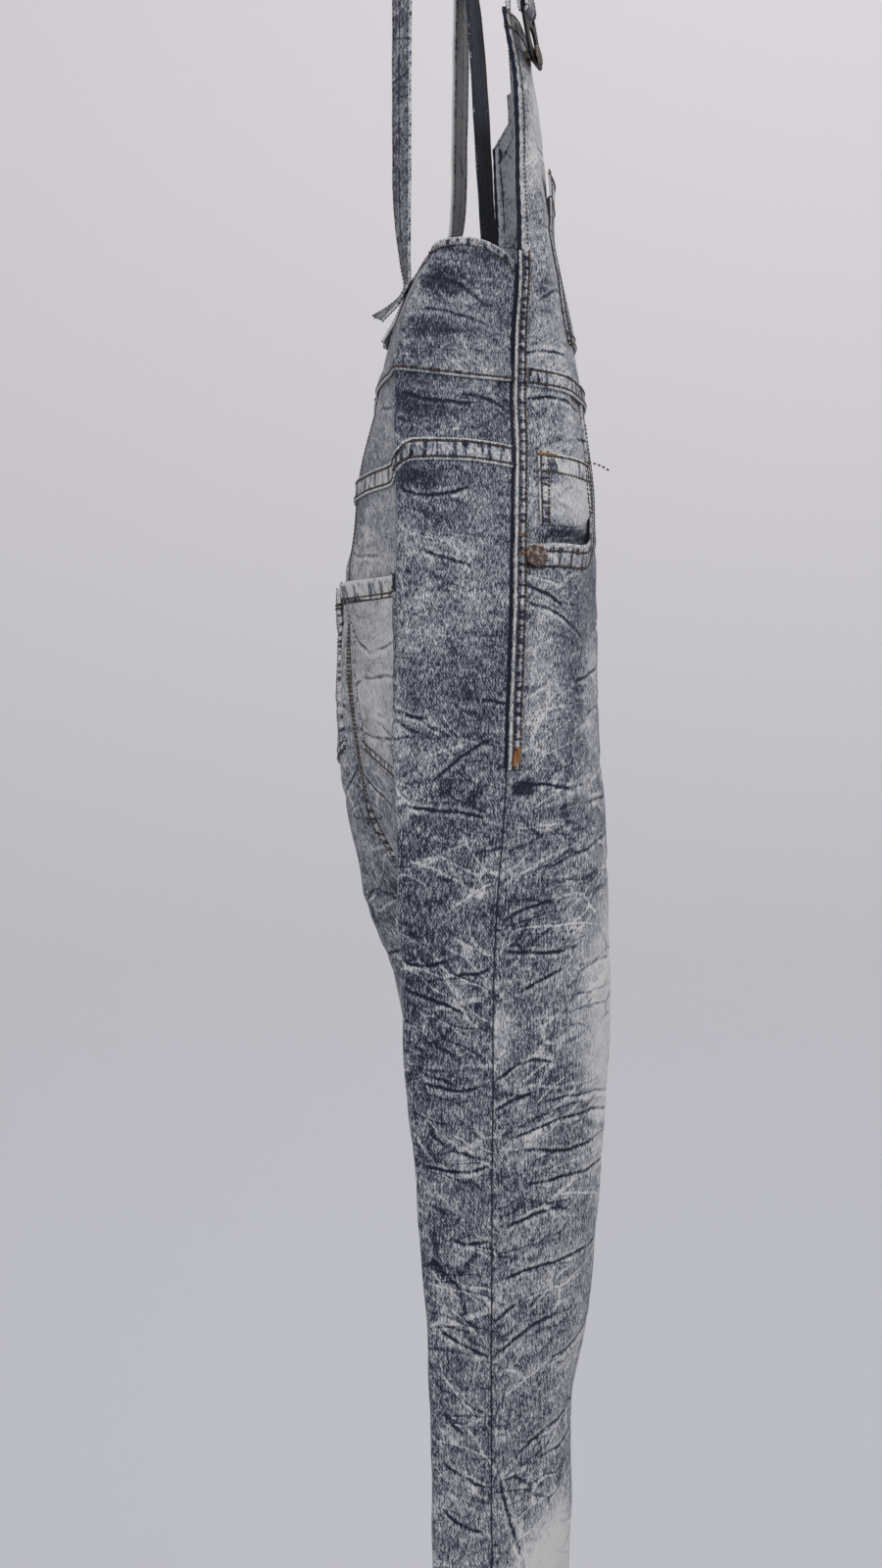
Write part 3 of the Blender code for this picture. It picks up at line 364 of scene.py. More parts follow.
# The right side's creases, from the top down; the left side gets similar ones. A row holds
# s0, z0, s1, z1, sag, depth, width and dye.
CREASES = tuple(Crease(*row) for row in (
    # back bib
    (4.7, -447, 3.3, -462, 7, 1.0, 7, 0.5), (5.2, -486, 4.2, -490, 2, 0.8, 6, 0.6),
    (4.4, -470, 3.2, -478, 5, 1.1, 8, 0.6), (8.2, -470, 6.3, -458, -3, 1.0, 7, 0.5),
    # yoke
    (4.7, -530, 3.35, -533, -2, 1.3, 5, 0.9), (3.5, -527, 3.05, -536, 3, 1.2, 5, 0.7),
    (5.0, -549, 3.9, -553, 1, 0.9, 9, 0.45), (7.6, -531, 5.6, -540, 0, 1.0, 6, 0.6),
    # hip
    (4.9, -598, 3.35, -592, -8, 1.6, 7, 0.9), (3.9, -640, 3.35, -653, -2, 1.0, 5, 0.8),
    (4.9, -690, 4.3, -697, 0, 1.0, 4, 0.8), (4.4, -761, 3.75, -763, 0, 1.0, 4, 0.9),
    (3.3, -750, 3.03, -752, 0, 1.0, 5, 0.9), (3.75, -811, 3.12, -776, 3, 1.2, 4, 0.7),
    (4.95, -826, 3.18, -834, 1, 1.5, 5, 1.0), (3.9, -792, 3.3, -780, 0, 0.7, 4, -0.5),
    (4.6, -868, 3.2, -846, -3, 0.8, 5, -0.5), (4.8, -640, 4.1, -700, 0, 0.7, 6, -0.4),
    (3.6, -905, 3.02, -880, 2, 0.9, 5, -0.6),
    # back of the thigh and knee
    (4.9, -936, 3.5, -936, -4, 1.4, 5, 0.9), (4.9, -955, 3.3, -975, -1, 1.5, 5, 0.9),
    (3.5, -946, 3.04, -942, -3, 1.0, 4, 0.8), (4.3, -997, 3.85, -1003, 0, 1.1, 5, 0.9),
    (4.1, -1022, 3.1, -1026, -6, 1.5, 5, 0.9), (4.2, -1044, 3.35, -1078, -2, 0.9, 5, -0.7),
    (4.0, -1056, 3.12, -1080, -6, 1.3, 5, 0.8), (4.3, -1084, 3.04, -1086, -4, 1.6, 5, 1.0),
    (4.1, -1102, 3.5, -1116, 0, 0.8, 4, -0.6), (4.2, -1110, 3.6, -1124, 0, 0.8, 4, 0.5),
    (3.7, -1137, 3.02, -1140, -3, 1.3, 4, 0.9), (4.5, -1147, 3.6, -1172, -2, 1.1, 5, 0.8),
    (4.6, -1156, 3.5, -1184, -2, 0.9, 5, -0.7), (4.4, -1199, 3.02, -1224, -4, 1.6, 5, 1.0),
    (4.3, -1230, 3.3, -1268, -3, 0.9, 5, -0.7), (4.1, -1262, 3.5, -1282, -2, 0.9, 4, 0.6),
    (4.2, -1299, 3.12, -1320, -3, 1.3, 5, 0.9), (4.4, -1333, 3.15, -1353, -4, 1.2, 5, 0.8),
    (4.2, -1388, 3.1, -1404, -3, 1.2, 5, 0.7), (4.5, -1440, 3.2, -1466, -4, 1.2, 6, 0.8),
    (4.3, -1500, 3.0, -1518, -4, 1.2, 6, 0.7), (4.5, -1548, 3.4, -1560, -3, 1.0, 6, 0.6),
    # seat, on the pocket and below it
    (8.5, -686, 7.6, -712, -4, 1.2, 5, 0.7), (7.6, -712, 5.4, -703, 3, 1.0, 5, 0.6),
    (8.6, -740, 7.9, -731, 1, 1.1, 5, 0.7), (7.9, -731, 5.4, -734, 2, 1.0, 5, 0.6),
    (8.3, -770, 6.6, -776, -3, 1.0, 9, 0.5), (8.8, -800, 7.2, -842, -6, 1.4, 7, 0.8),
    (7.6, -836, 5.3, -862, -6, 1.3, 7, 0.7), (8.7, -632, 7.4, -640, -2, 1.0, 6, 0.5),
    (8.2, -880, 5.6, -905, -8, 1.4, 8, 0.8), (8.6, -930, 6.0, -948, -7, 1.3, 7, 0.7),
    (8.4, -1010, 5.8, -1030, -7, 1.3, 7, 0.7), (8.5, -1090, 5.8, -1102, -6, 1.3, 7, 0.8),
    (8.2, -1180, 5.7, -1203, -7, 1.3, 7, 0.7), (8.6, -1290, 6.2, -1306, -6, 1.2, 7, 0.7),
    (8.3, -1420, 5.9, -1440, -6, 1.2, 7, 0.6),
    # front bib and below its band
    (2.9, -494, 1.5, -491, 2, 1.1, 6, 0.9), (2.4, -452, 1.2, -441, 3, 1.0, 7, 0.6),
    (2.2, -398, 0.4, -404, 5, 1.0, 8, 0.5), (2.0, -330, 0.0, -322, -4, 1.0, 9, 0.5),
    (2.8, -357, 1.6, -342, 2, 0.8, 6, -0.5), (2.9, -527, 1.1, -531, 3, 1.0, 8, 0.9),
    (1.6, -553, 0.9, -551, 0, 1.0, 5, 0.6),
    # front of the thigh
    (2.85, -668, 2.2, -682, 3, 1.3, 5, 0.8), (2.85, -660, 2.1, -676, 4, 0.8, 4, -0.7),
    (2.85, -678, 1.75, -705, 4, 1.2, 5, 0.8), (2.1, -736, 1.0, -722, 1, 1.1, 5, 0.8),
    (1.9, -760, 0.6, -748, 2, 0.9, 6, 0.5), (2.88, -810, 2.05, -814, 1, 1.2, 5, 0.8),
    (1.9, -823, 1.0, -818, 0, 1.0, 5, 0.7), (2.9, -842, 2.1, -838, 0, 0.8, 5, -0.7),
    (2.6, -873, 1.2, -845, 3, 0.9, 6, 0.6), (2.9, -880, 1.9, -848, 3, 0.8, 5, -0.6),
    (2.95, -909, 2.4, -893, 2, 1.0, 5, 0.8), (2.95, -929, 2.1, -927, -4, 1.5, 5, 1.0),
    (2.78, -963, 2.25, -944, 3, 1.4, 5, 1.0), (2.25, -944, 1.0, -937, 2, 1.0, 5, 0.5),
    (2.9, -916, 1.8, -912, 2, 0.8, 5, -0.7), (2.99, -1024, 2.4, -1012, 7, 1.4, 5, 0.9),
    (2.99, -1046, 2.6, -1032, 1, 1.3, 5, 1.0), (2.6, -1042, 1.1, -1042, 6, 1.1, 5, 0.6),
    (2.92, -1071, 1.2, -1055, 12, 1.5, 5, 0.9), (2.76, -1073, 1.7, -1070, -5, 1.5, 5, 1.0),
    (2.7, -1101, 1.1, -1088, 1, 1.3, 5, 0.9), (2.5, -1092, 1.3, -1076, 2, 0.8, 5, -0.6),
    (2.88, -1131, 2.25, -1117, 1, 1.3, 5, 0.9), (2.4, -1110, 1.5, -1116, 3, 0.9, 5, -0.8),
    (2.97, -1169, 1.4, -1147, 1, 1.3, 4, 1.0), (2.98, -1199, 2.7, -1186, 0, 1.1, 4, 0.9),
    (2.7, -1186, 1.8, -1170, 0, 0.8, 5, -0.7), (3.0, -1226, 2.2, -1196, 4, 1.3, 5, 0.9),
    (2.4, -1234, 1.2, -1208, 0, 1.3, 5, 0.9), (2.9, -1258, 1.8, -1222, 5, 0.8, 5, -0.6),
    (2.72, -1300, 1.8, -1270, 2, 1.2, 5, 0.8), (2.4, -1303, 1.2, -1282, -1, 1.2, 5, 0.8),
    (2.9, -1312, 2.58, -1378, 0, 3.0, 6, 1.0), (2.58, -1378, 2.3, -1480, 0, 2.4, 7, 0.9),
    (2.9, -1412, 1.6, -1391, 2, 1.0, 6, 0.7), (2.6, -1475, 1.2, -1452, 3, 1.0, 6, 0.7),
    (2.8, -1532, 1.4, -1520, 3, 1.0, 6, 0.7),
    # middle of the front
    (1.2, -640, 0.0, -628, 2, 1.1, 7, 0.6), (1.1, -690, 0.1, -700, 4, 1.2, 7, 0.7),
    (1.3, -790, 0.1, -812, 4, 1.3, 7, 0.8), (1.5, -868, 0.3, -892, 5, 1.4, 8, 0.8),
    (1.0, -985, 0.1, -1000, 4, 1.2, 7, 0.7), (1.0, -1075, 0.1, -1090, 4, 1.3, 7, 0.7),
    (1.0, -1180, 0.1, -1200, 4, 1.2, 7, 0.7), (1.0, -1340, 0.1, -1356, 4, 1.2, 7, 0.6),
))

# Paler, abraded places, and darker ones with an amount below 0, one of them a painted shadow
Fade = namedtuple("Fade", "station z half_stations half_height amount")
FADES_AND_SHADES = tuple(Fade(*row) for row in (
    (1.4, -985, 1.0, 135, 1.15), (2.0, -1405, 0.9, 92, 1.7), (1.9, -600, 0.9, 26, 0.55),
    (1.6, -560, 0.5, 45, 0.35), (2.6, -720, 0.35, 60, 0.3), (7.6, -700, 1.6, 120, 0.75),
    (7.0, -560, 2.0, 60, 0.4), (1.2, -330, 1.4, 80, 0.45), (2.93, -990, 0.14, 36, 0.7),
    (1.2, -760, 0.8, 70, 0.3), (2.0, -1200, 1.0, 130, 0.25), (4.4, -470, 0.8, 30, 0.45),
    # (2.05, -628) is a painted shadow in the gap above the hip pocket's mouth
    (2.75, -905, 0.4, 80, -0.1), (2.05, -628, 0.75, 7.5, -1.3), (2.8, -813, 0.2, 9, -1.3),
    (4.0, -447, 0.65, 13, -0.9), (2.1, -446, 0.5, 13, -0.5), (1.8, -372, 0.6, 18, -0.3),
    (3.3, -660, 0.3, 70, 0.25), (2.42, -588, 0.3, 5, -1.0), (2.35, -568, 0.3, 6, 0.7),
    (4.0, -970, 0.9, 110, -0.35), (4.2, -745, 0.6, 34, -0.25), (3.4, -782, 0.35, 22, -0.3),
    (3.9, -640, 0.7, 16, 0.25), (4.4, -860, 0.8, 40, -0.2), (4.1, -481, 0.8, 12, -0.8),
    (3.5, -425, 0.5, 8, -0.5), (4.2, -590, 0.9, 11, -0.5), (4.0, -537, 0.9, 12, -0.45),
))


class Relief:
    """The creases and soft waves that every piece of cloth shares."""

    reach = 8.0                    # mm from a crease at which its dye has ended
    softness = 1.35                # of every trough, over its stated width
    shallow = 0.72                 # of its stated depth, as it hangs
    rim = 0.45                     # height of the rim beside a trough, over its depth
    taper = 0.16                   # share of a crease over which each end fades out
    wobble = ((0.5, 6.0), (0.25, 2.7))     # mm off its line, and over how long
    flat_at_edge = 0.25            # share of the creases' relief kept at an edge
    # The left's creases: drop, turn, slide, then factors of the sag and of the depth
    jitter = ((-11, 11), (-7, 7), (-0.1, 0.1), (0.5, 1.4), (0.8, 1.1))
    jitter_seed = 11
    # Soft waves: depth, length down the cloth, turns across it, and how the left's are moved
    swells = ((0.5, 19, 2.1, 1.9), (0.45, 31, -3.3, 3.8), (0.25, 9, 4.7, 1.9))
    settled = 0.35                 # mm that the waves lie inwards as a whole

    def __init__(self) -> None:
        """Sets out both sides' creases: the left's are the right's, moved a little."""
        rng = np.random.default_rng(self.jitter_seed)
        moved = []
        for crease in CREASES:
            drop, turn, slide, sag, depth = [rng.uniform(*span) for span in self.jitter]
            moved.append(replace(crease, s0=crease.s0 + slide, z0=crease.z0 + drop,
                                 s1=crease.s1 + slide, z1=crease.z1 + drop + turn,
                                 sag=crease.sag * sag, depth=crease.depth * depth))
        self.creases = {Side.RIGHT: CREASES, Side.LEFT: tuple(moved)}

    def __call__(self, z: Array, station: Array, side: Side) -> tuple[Array, Array, Array]:
        """Relief of the cloth and what the dye needs of the creases.

        Args:
            z: heights.
            station: stations, of the same shape.
            side: the half.

        Returns:
            The lift, the signed distance to the nearest crease, and how much that crease
            is dyed there: dark above 0, pale below.
        """
        lift = self.waves(z, station, side)
        nearest = np.full(z.shape, 2 * self.reach)
        dyed = np.zeros(z.shape)
        for crease in self.creases[side]:
            z0, z1, sag = crease.z0, crease.z1, crease.sag
            room = 3 * self.reach + abs(sag)
            if z.max() < min(z0, z1) - room or z.min() > max(z0, z1) + room:
                continue
            t, run = crease.shares(station, side)
            within = ease(0, self.taper, t) * ease(0, self.taper, 1 - t)
            rise = z0 + (z1 - z0) * t + sag * 4 * t * (1 - t)
            slope = (z1 - z0 + sag * 4 * (1 - 2 * t)) / run
            distance = (z - rise) / np.sqrt(1 + slope ** 2)
            for (swing, length), start in zip(self.wobble, (z0, z1)):
                distance = distance + swing * np.sin(t * run / length + start)
            width = crease.width * self.softness
            trough = np.exp(-(distance / width * 2) ** 2)
            rim = np.exp(-((distance - width) / width * 1.6) ** 2)
            lift = lift + within * crease.depth * self.shallow * (self.rim * rim - trough)
            closer = (within * self.nearness(distance) * abs(crease.dye)
                      > self.nearness(nearest) * np.abs(dyed))
            nearest = np.where(closer, distance, nearest)
            dyed = np.where(closer, within * crease.dye, dyed)
        centre = ease(0, 0.3, station) * ease(0, 0.3, END - station)
        return lift * (self.flat_at_edge + (1 - self.flat_at_edge) * centre), nearest, dyed

    def nearness(self, distance: Array) -> Array:
        """1 on a crease's line, 0 where its dye has ended."""
        return np.clip(1 - np.abs(distance) / self.reach, 0, 1)

    def waves(self, z: Array, station: Array, side: Side) -> Array:
        """Soft waves of the hanging cloth, a millimetre or so deep."""
        lift = np.zeros(np.shape(z))
        for depth, length, across, turn in self.swells:
            moved = turn if side is Side.LEFT else 0.0
            lift = lift + depth * np.sin(z / length + across * station + moved)
        return lift - self.settled

    @staticmethod
    def fade(z: Array, station: Array) -> Array:
        """How abraded the cloth is, or below 0 how dark, with a painted shadow among it."""
        worn = np.zeros(z.shape)
        for place in FADES_AND_SHADES:
            across = (station - place.station) / place.half_stations
            down = (z - place.z) / place.half_height
            worn = worn + place.amount * (1 - ease(0.35, 1.15, np.hypot(across, down)))
        return worn


RELIEF = Relief()


# -------------------- nodes and finishes

def node(tree: bpy.types.NodeTree, kind: str, inputs: dict | None = None,
         **settings: object) -> bpy.types.Node:
    """Adds a node with its settings, and sets or links its inputs.

    Args:
        tree: the node tree.
        kind: the node's type.
        inputs: input names or numbers, each with a value or the socket to link.
        settings: the node's own properties.

    Returns:
        The new node.
    """
    made = tree.nodes.new(kind)
    for name, value in settings.items():
        setattr(made, name, value)
    for key, value in (inputs or {}).items():
        socket = made.inputs[key]
        if isinstance(value, Socket):
            tree.links.new(value, socket)
        else:
            socket.default_value = value
    return made


def linear(colour: str) -> tuple[float, float, float, float]:
    """An sRGB hex colour as linear red, green, blue and alpha."""
    channels = [int(colour[i:i + 2], 16) / 255 for i in (0, 2, 4)]
    return (*(c / 12.92 if c <= 0.04045 else ((c + 0.055) / 1.055) ** 2.4
              for c in channels), 1.0)


class Shader:
    """A material under construction, with short words for the maths its pattern needs."""

    def __init__(self, name: str) -> None:
        """Starts a material with an empty tree."""
        self.material = bpy.data.materials.new(name)
        self.material.use_nodes = True
        self.tree = self.material.node_tree
        self.tree.nodes.clear()

    def add(self, kind: str, inputs: dict | None = None, **settings: object) -> bpy.types.Node:
        """Adds a node to this material."""
        return node(self.tree, kind, inputs, **settings)

    def maths(self, operation: str, *values: object) -> Socket:
        """The result of a Math node on up to three numbers or sockets."""
        return self.add("ShaderNodeMath", dict(enumerate(values)),
                        operation=operation).outputs[0]

    def times(self, first: object, second: object) -> Socket:
        """A product."""
        return self.maths("MULTIPLY", first, second)

    def scaled(self, value: object, share: object, base: object) -> Socket:
        """A share of a value, on top of a base."""
        return self.maths("MULTIPLY_ADD", value, share, base)

    def total(self, value: object, *parts: tuple[object, object]) -> Socket:
        """A value with each part's share added to it, in their order."""
        for part, share in parts:
            value = self.scaled(part, share, value)
        return value

    def step(self, value: object, low: float, high: float) -> Socket:
        """0 below low and 1 above high, smooth between; low may be the higher one."""
        if low > high:
            return self.maths("SUBTRACT", 1.0, self.step(value, high, low))
        made = self.add("ShaderNodeMapRange", {"Value": value, "From Min": low,
                                               "From Max": high},
                        interpolation_type="SMOOTHSTEP")
        return made.outputs["Result"]

    def vector(self, operation: str, *values: object, result: str = "Vector") -> Socket:
        """The result of a Vector Math node on up to three vectors or sockets."""
        return self.add("ShaderNodeVectorMath", dict(enumerate(values)),
                        operation=operation).outputs[result]

    def mix(self, factor: object, first: object, second: object) -> Socket:
        """A mix of two colours, given as sockets or hex."""
        colours = [linear(c) if isinstance(c, str) else c for c in (first, second)]
        made = self.add("ShaderNodeMix", {"Factor": factor, 6: colours[0], 7: colours[1]},
                        data_type="RGBA")
        return made.outputs[2]

    def stretched(self, point: object, across: float, down: float) -> Socket:
        """The cloth's own coordinates in features of this size, in mm."""
        sizes = (1.0 / across, 1.0 / down, 1.0 / across)
        return self.vector("MULTIPLY", point, sizes)

    def noise(self, point: object, size: tuple[float, float], detail: float = 2.0,
              rough: float = 0.5, seed: float = 0.0) -> Socket:
        """Noise at a point, in features of this width and height."""
        return self.add("ShaderNodeTexNoise",
                        {"Vector": self.stretched(point, *size), "W": seed, "Scale": 1.0,
                         "Detail": detail, "Roughness": rough},
                        noise_dimensions="4D").outputs["Fac"]

    def parts(self, point: object) -> bpy.types.bpy_prop_collection:
        """A point's X, Y and Z."""
        return self.add("ShaderNodeSeparateXYZ", {"Vector": point}).outputs

    def coordinates(self) -> Socket:
        """The object's own coordinates, in metres."""
        return self.add("ShaderNodeTexCoord").outputs["Object"]

    def attribute(self, name: str) -> Socket:
        """A number that the mesh carries at its points."""
        return self.add("ShaderNodeAttribute", attribute_name=name).outputs["Fac"]

    def finish(self, colour: object, roughness: object, metallic: float = 0.0,
               bump: tuple[object, float] | None = None, **fixed: float) -> Material:
        """Closes the material with a Principled shader.

        Args:
            colour: base colour, a socket or hex.
            roughness: a number or socket.
            metallic: 0 or 1.
            bump: a height socket and its depth in metres.
            fixed: more of the shader's sockets, with underscores for spaces.

        Returns:
            The material.
        """
        inputs = {"Base Color": linear(colour) if isinstance(colour, str) else colour,
                  "Roughness": roughness, "Metallic": metallic}
        inputs.update({name.replace("_", " "): value for name, value in fixed.items()})
        if bump:
            made = self.add("ShaderNodeBump", {"Height": bump[0], "Distance": bump[1],
                                               "Strength": 1.0})
            inputs["Normal"] = made.outputs["Normal"]
        shader = self.add("ShaderNodeBsdfPrincipled", inputs)
        self.add("ShaderNodeOutputMaterial", {"Surface": shader.outputs["BSDF"]})
        return self.material


@dataclass(frozen=True)
class AcidDenim:
    """Indigo cotton twill, acid-washed: bleach leaves a pale, crumpled bloom over navy.

    Bleached and blue warp slubs lie side by side, so the cloth looks like salt and pepper.
    Its folds leave pale and dark lines, and hems pucker into bars between their stitches.
    """

    name: str = "acid_washed_denim"
    pale: str = "B3B2B2"
    middle: str = "787B83"
    dark: str = "353A48"
    darkest: str = "171B28"
    reverse: str = "B0B3BB"      # the cloth's inside is duller
    reverse_dark: str = "282D3A"
    twill_pitch: float = 1.9     # mm; the real 0.9 is too fine to show
    twill_angle: float = 58.0
    contrast_middle: float = 0.4

    # Features of the bleaching, by width and height in mm
    cloud, blot, mottle = (60, 80), (21, 14), (5.0, 8.0)
    slub = (1.2, 4.4)            # a warp thread's 0.6, drawn coarser
    needle = (1.5, 13.0)         # longer streaks, on the legs
    speck = (1.1, 1.9)
    # Waves that bend the pattern, and those that crumple it: their size and how far they push
    bend, crumple = (26, 16), (17, 7)
    # Crumple lines, pale and dark: seed, angle in degrees, cell size and width of line
    crumples = ((7.0, 33, (42, 14), 0.062), (9.0, 15, (54, 19), 0.050))
    leg_heights = (-680.0, -900.0)     # the pattern has grown coarser by the lower one
    folded_patches = (60, 34)          # where crumple lines show

    def material(self) -> Material:
        """Builds the finish as a node tree on the piece's own UV map and attributes."""
        s = Shader(self.name)
        uv = s.add("ShaderNodeUVMap", uv_map="cloth").outputs["UV"]
        point = s.stretched(uv, MM, MM)
        twill = self.twill(s, point)
        lower = s.step(s.parts(point)["Y"], *self.leg_heights)
        value = self.marbling(s, point, twill, lower)
        fade = s.attribute("fade")
        calm = s.scaled(s.step(fade, 0.15, 1.2), -0.5, 1.0)
        value = s.scaled(s.maths("SUBTRACT", value, self.contrast_middle), calm,
                         self.contrast_middle)
        pale, dark = self.crumple_lines(s, self.bent(s, point, *self.crumple), lower)
        line, rim = self.crease_lines(s, point)
        worn, pucker, furrow, shade = self.edges(s, point)
        # furrow and shade are painted shade: darker in a row's sunk furrow and beside a shaded
        # edge
        value = s.total(value, (fade, 0.36), (pale, 0.30), (dark, -0.26), (line, -0.55),
                        (rim, 0.15), (worn, 0.27), (pucker, 0.50), (furrow, -0.42),
                        (shade, -1.1))
        ramp = s.add("ShaderNodeValToRGB", {"Fac": value})
        self.fill_ramp(ramp.color_ramp)
        inner = s.mix(s.step(value, 0.24, 0.82), self.reverse_dark, self.reverse)
        colour = s.mix(s.attribute("inside"), ramp.outputs["Color"], inner)
        height = s.total(s.times(twill, 0.12), (pucker, 0.8), (s.maths("ADD", dark, line), -0.3),
                         (pale, 0.25), (furrow, -0.4))       # in mm
        return s.finish(colour, 0.92, bump=(height, MM), Sheen_Weight=0.08,
                        Sheen_Roughness=0.5, Specular_IOR_Level=0.15)

    @staticmethod
    def bent(s: Shader, point: object, size: float, push: float) -> Socket:
        """The cloth's coordinates, pushed about so far by waves of this size, in mm."""
        wave = s.add("ShaderNodeTexNoise", {"Vector": s.stretched(point, size, size),
                                            "Scale": 1.0, "Detail": 1.0})
        return s.vector("MULTIPLY_ADD", wave.outputs["Color"], (push, push, 0.0), point)

    def twill(self, s: Shader, point: object) -> Socket:
        """The twill's diagonal lines, 0 in their furrows and 1 on top."""
        angle = math.radians(self.twill_angle)
        turn = 2 * math.pi / self.twill_pitch
        wobble = s.noise(point, (5, 5))
        run = (turn * math.sin(angle), -turn * math.cos(angle), 0)
        across = s.vector("DOT_PRODUCT", point, run, result="Value")
        return s.scaled(s.maths("SINE", s.total(across, (wobble, 4.0))), 0.5, 0.5)

    def marbling(self, s: Shader, point: object, twill: object, lower: object) -> Socket:
        """Bleach on the cloth: clouds, blots, slubs, specks and the twill's own lines."""
        bent = self.bent(s, point, *self.bend)
        layers = ((bent, self.cloud, 0.65), (bent, self.blot, 0.52), (point, self.mottle, 0.60),
                  (point, self.slub, 1.65), (point, self.speck, 1.25),
                  (point, self.needle, s.times(lower, 0.9)))
        value = s.scaled(twill, 0.16, 0.37)
        for seed, (place, size, share) in enumerate(layers, 1):
            found = s.noise(place, size, 2, 0.55, seed)
            value = s.total(value, (s.maths("SUBTRACT", found, 0.5), share))
        return value

    def crumple_lines(self, s: Shader, crumpled: object, lower: object) -> list[Socket]:
        """Fine pale and dark lines of the crumpled cloth, rising away from the side seam."""
        folded = s.vector("ABSOLUTE", crumpled)
        half = s.maths("SIGN", s.parts(crumpled)["X"])
        force = s.scaled(lower, 0.5, 0.5)
        found = []
        for seed, turn, size, width in self.crumples:
            turned = s.add("ShaderNodeVectorRotate",
                           {"Vector": folded, "Angle": math.radians(turn)},
                           rotation_type="Z_AXIS").outputs["Vector"]
            cells = s.add("ShaderNodeTexVoronoi",
                          {"Vector": s.stretched(turned, *size), "Scale": 1.0,
                           "W": s.scaled(half, 2.4, seed), "Randomness": 1.0},
                          voronoi_dimensions="4D", feature="DISTANCE_TO_EDGE")
            line = s.step(cells.outputs["Distance"], width, width * 0.2)
            mask = s.noise(crumpled, self.folded_patches, 1, 0.5, seed + 1)
            line = s.times(line, s.step(mask, 0.43, 0.60))
            found.append(s.times(line, force))
        return found

    @staticmethod
    def ragged(s: Shader, name: str, point: object, size: float, push: float,
               seed: float) -> Socket:
        """A distance that the mesh carries, made uneven by so many mm either way."""
        rough = s.noise(point, (size, size), 1, 0.5, seed)
        return s.maths("ADD", s.attribute(name), s.scaled(rough, 2 * push, -push))

    def crease_lines(self, s: Shader, point: object) -> tuple[Socket, Socket]:
        """Dye left in the creases' furrows, and the worn rim beside each."""
        away = s.maths("ABSOLUTE", self.ragged(s, "crease", point, 2.4, 0.9, 5.0))
        dyed = s.attribute("dyed")
        uneven = s.step(s.noise(point, (13, 13), 1, 0.5, 6.0), 0.25, 0.62)
        line = s.times(s.step(away, 1.6, 0.3), dyed)
        line = s.times(line, s.scaled(uneven, 0.75, 0.35))
        beside = s.step(s.maths("ABSOLUTE", s.maths("ADD", away, -3.0)), 2.0, 0.4)
        return line, s.times(beside, s.maths("ABSOLUTE", dyed))

    def edges(self, s: Shader, point: object) -> tuple[Socket, Socket, Socket, Socket]:
        """Worn folded edges, a hem's puckers about nought, and painted shade in stitched furrows
        and at seams.
        """
        worn = s.step(self.ragged(s, "edge", point, 3.5, 1.0, 15.0), 1.9, 0.6)
        bars = [s.step(s.noise(point, size, 1, 0.5, seed), 0.38, 0.52)
                for seed, size in ((11.0, (4.6, 26.0)), (12.0, (26.0, 3.7)))]
        turned = s.attribute("upright")
        level = s.maths("SUBTRACT", 1.0, turned)
        pucker = s.total(s.times(bars[0], level), (bars[1], turned))
        inside_hem = s.times(s.step(s.attribute("hem"), 1.06, 0.9),
                             s.step(s.attribute("edge"), 0.8, 2.2))
        pucker = s.times(s.maths("SUBTRACT", pucker, 0.66), inside_hem)
        # The last two are painted shade: darker along each row's furrow and within 2.2 mm of a
        # shaded edge
        return (worn, pucker, s.step(s.attribute("row"), 1.2, 0.4),
                s.step(s.attribute("seam"), 3.2, 2.2))

    def fill_ramp(self, ramp: bpy.types.ColorRamp) -> None:
        """Sets the dye's colours from the darkest to the palest."""
        stops = ((0.06, self.darkest), (0.30, self.dark), (0.57, self.middle),
                 (0.90, self.pale))
        while len(ramp.elements) < len(stops):
            ramp.elements.new(0.5)
        for element, (place, colour) in zip(ramp.elements, stops):
            element.position = place
            element.color = linear(colour)


@dataclass(frozen=True)
class Thread:
    """Core-spun polyester sewing thread: a slight sheen on a fine twist."""

    name: str
    colour: str
    shade: str

    def material(self) -> Material:
        """Builds the thread's finish, a little uneven in colour along the rows."""
        s = Shader(self.name)
        uneven = s.noise(s.coordinates(), (6 * MM, 6 * MM), 2)
        return s.finish(s.mix(s.step(uneven, 0.35, 0.65), self.shade, self.colour), 0.6,
                        Specular_IOR_Level=0.35)


@dataclass(frozen=True)
class PlatedMetal:
    """Die-struck brass under dark plating, rubbed brighter on its high places."""

    name: str
    colour: str
    rubbed: str
    roughness: float

    def material(self) -> Material:
        """Builds the plating with worn patches and fine pitting."""
        s = Shader(self.name)
        place = s.coordinates()
        wear = s.noise(place, (3 * MM, 3 * MM), 3, 0.6)
        pits = s.noise(place, (0.5 * MM, 0.5 * MM), 2)
        colour = s.mix(s.step(wear, 0.42, 0.68), self.colour, self.rubbed)
        rough = s.scaled(pits, 0.16, self.roughness)
        return s.finish(colour, rough, 1.0, bump=(pits, 0.00012))


@dataclass(frozen=True)
class StudioPaper:
    """Seamless paper: dead matt, with painted shade making it a little darker towards the floor.
    """

    name: str = "seamless_paper"
    high: str = "CBC8CB"
    low: str = "B9BBC0"

    def material(self) -> Material:
        """Builds the paper's painted shade, a slow darkening towards the floor."""
        s = Shader(self.name)
        height = s.parts(s.coordinates())["Z"]
        return s.finish(s.mix(s.step(height, -1.9, 0.1), self.low, self.high), 1.0,
                        Specular_IOR_Level=0.0)


# -------------------- cloth pieces

class Rim(Enum):
    """An edge of a piece of the cut."""

    FIRST = 0
    LAST = 1
    TOP = 2
    BOTTOM = 3


FIRST, LAST, TOP, BOTTOM = Rim


class Stitch(Enum):
    """Kinds of stitching."""

    BROWN = "topstitch_brown"
    FINE = "topstitch_fine"
    TACK = "bartack_orange"


@dataclass(frozen=True)
class Row:
    """A row of stitches, so far inside a rim, over a share of it."""

    rim: Rim
    inset: float
    start: float = 0.0
    end: float = 1.0
    stitch: Stitch = Stitch.BROWN


def flat_lift(z: Array, station: Array, side: Side) -> float:
    """The form itself."""
    return 0.0


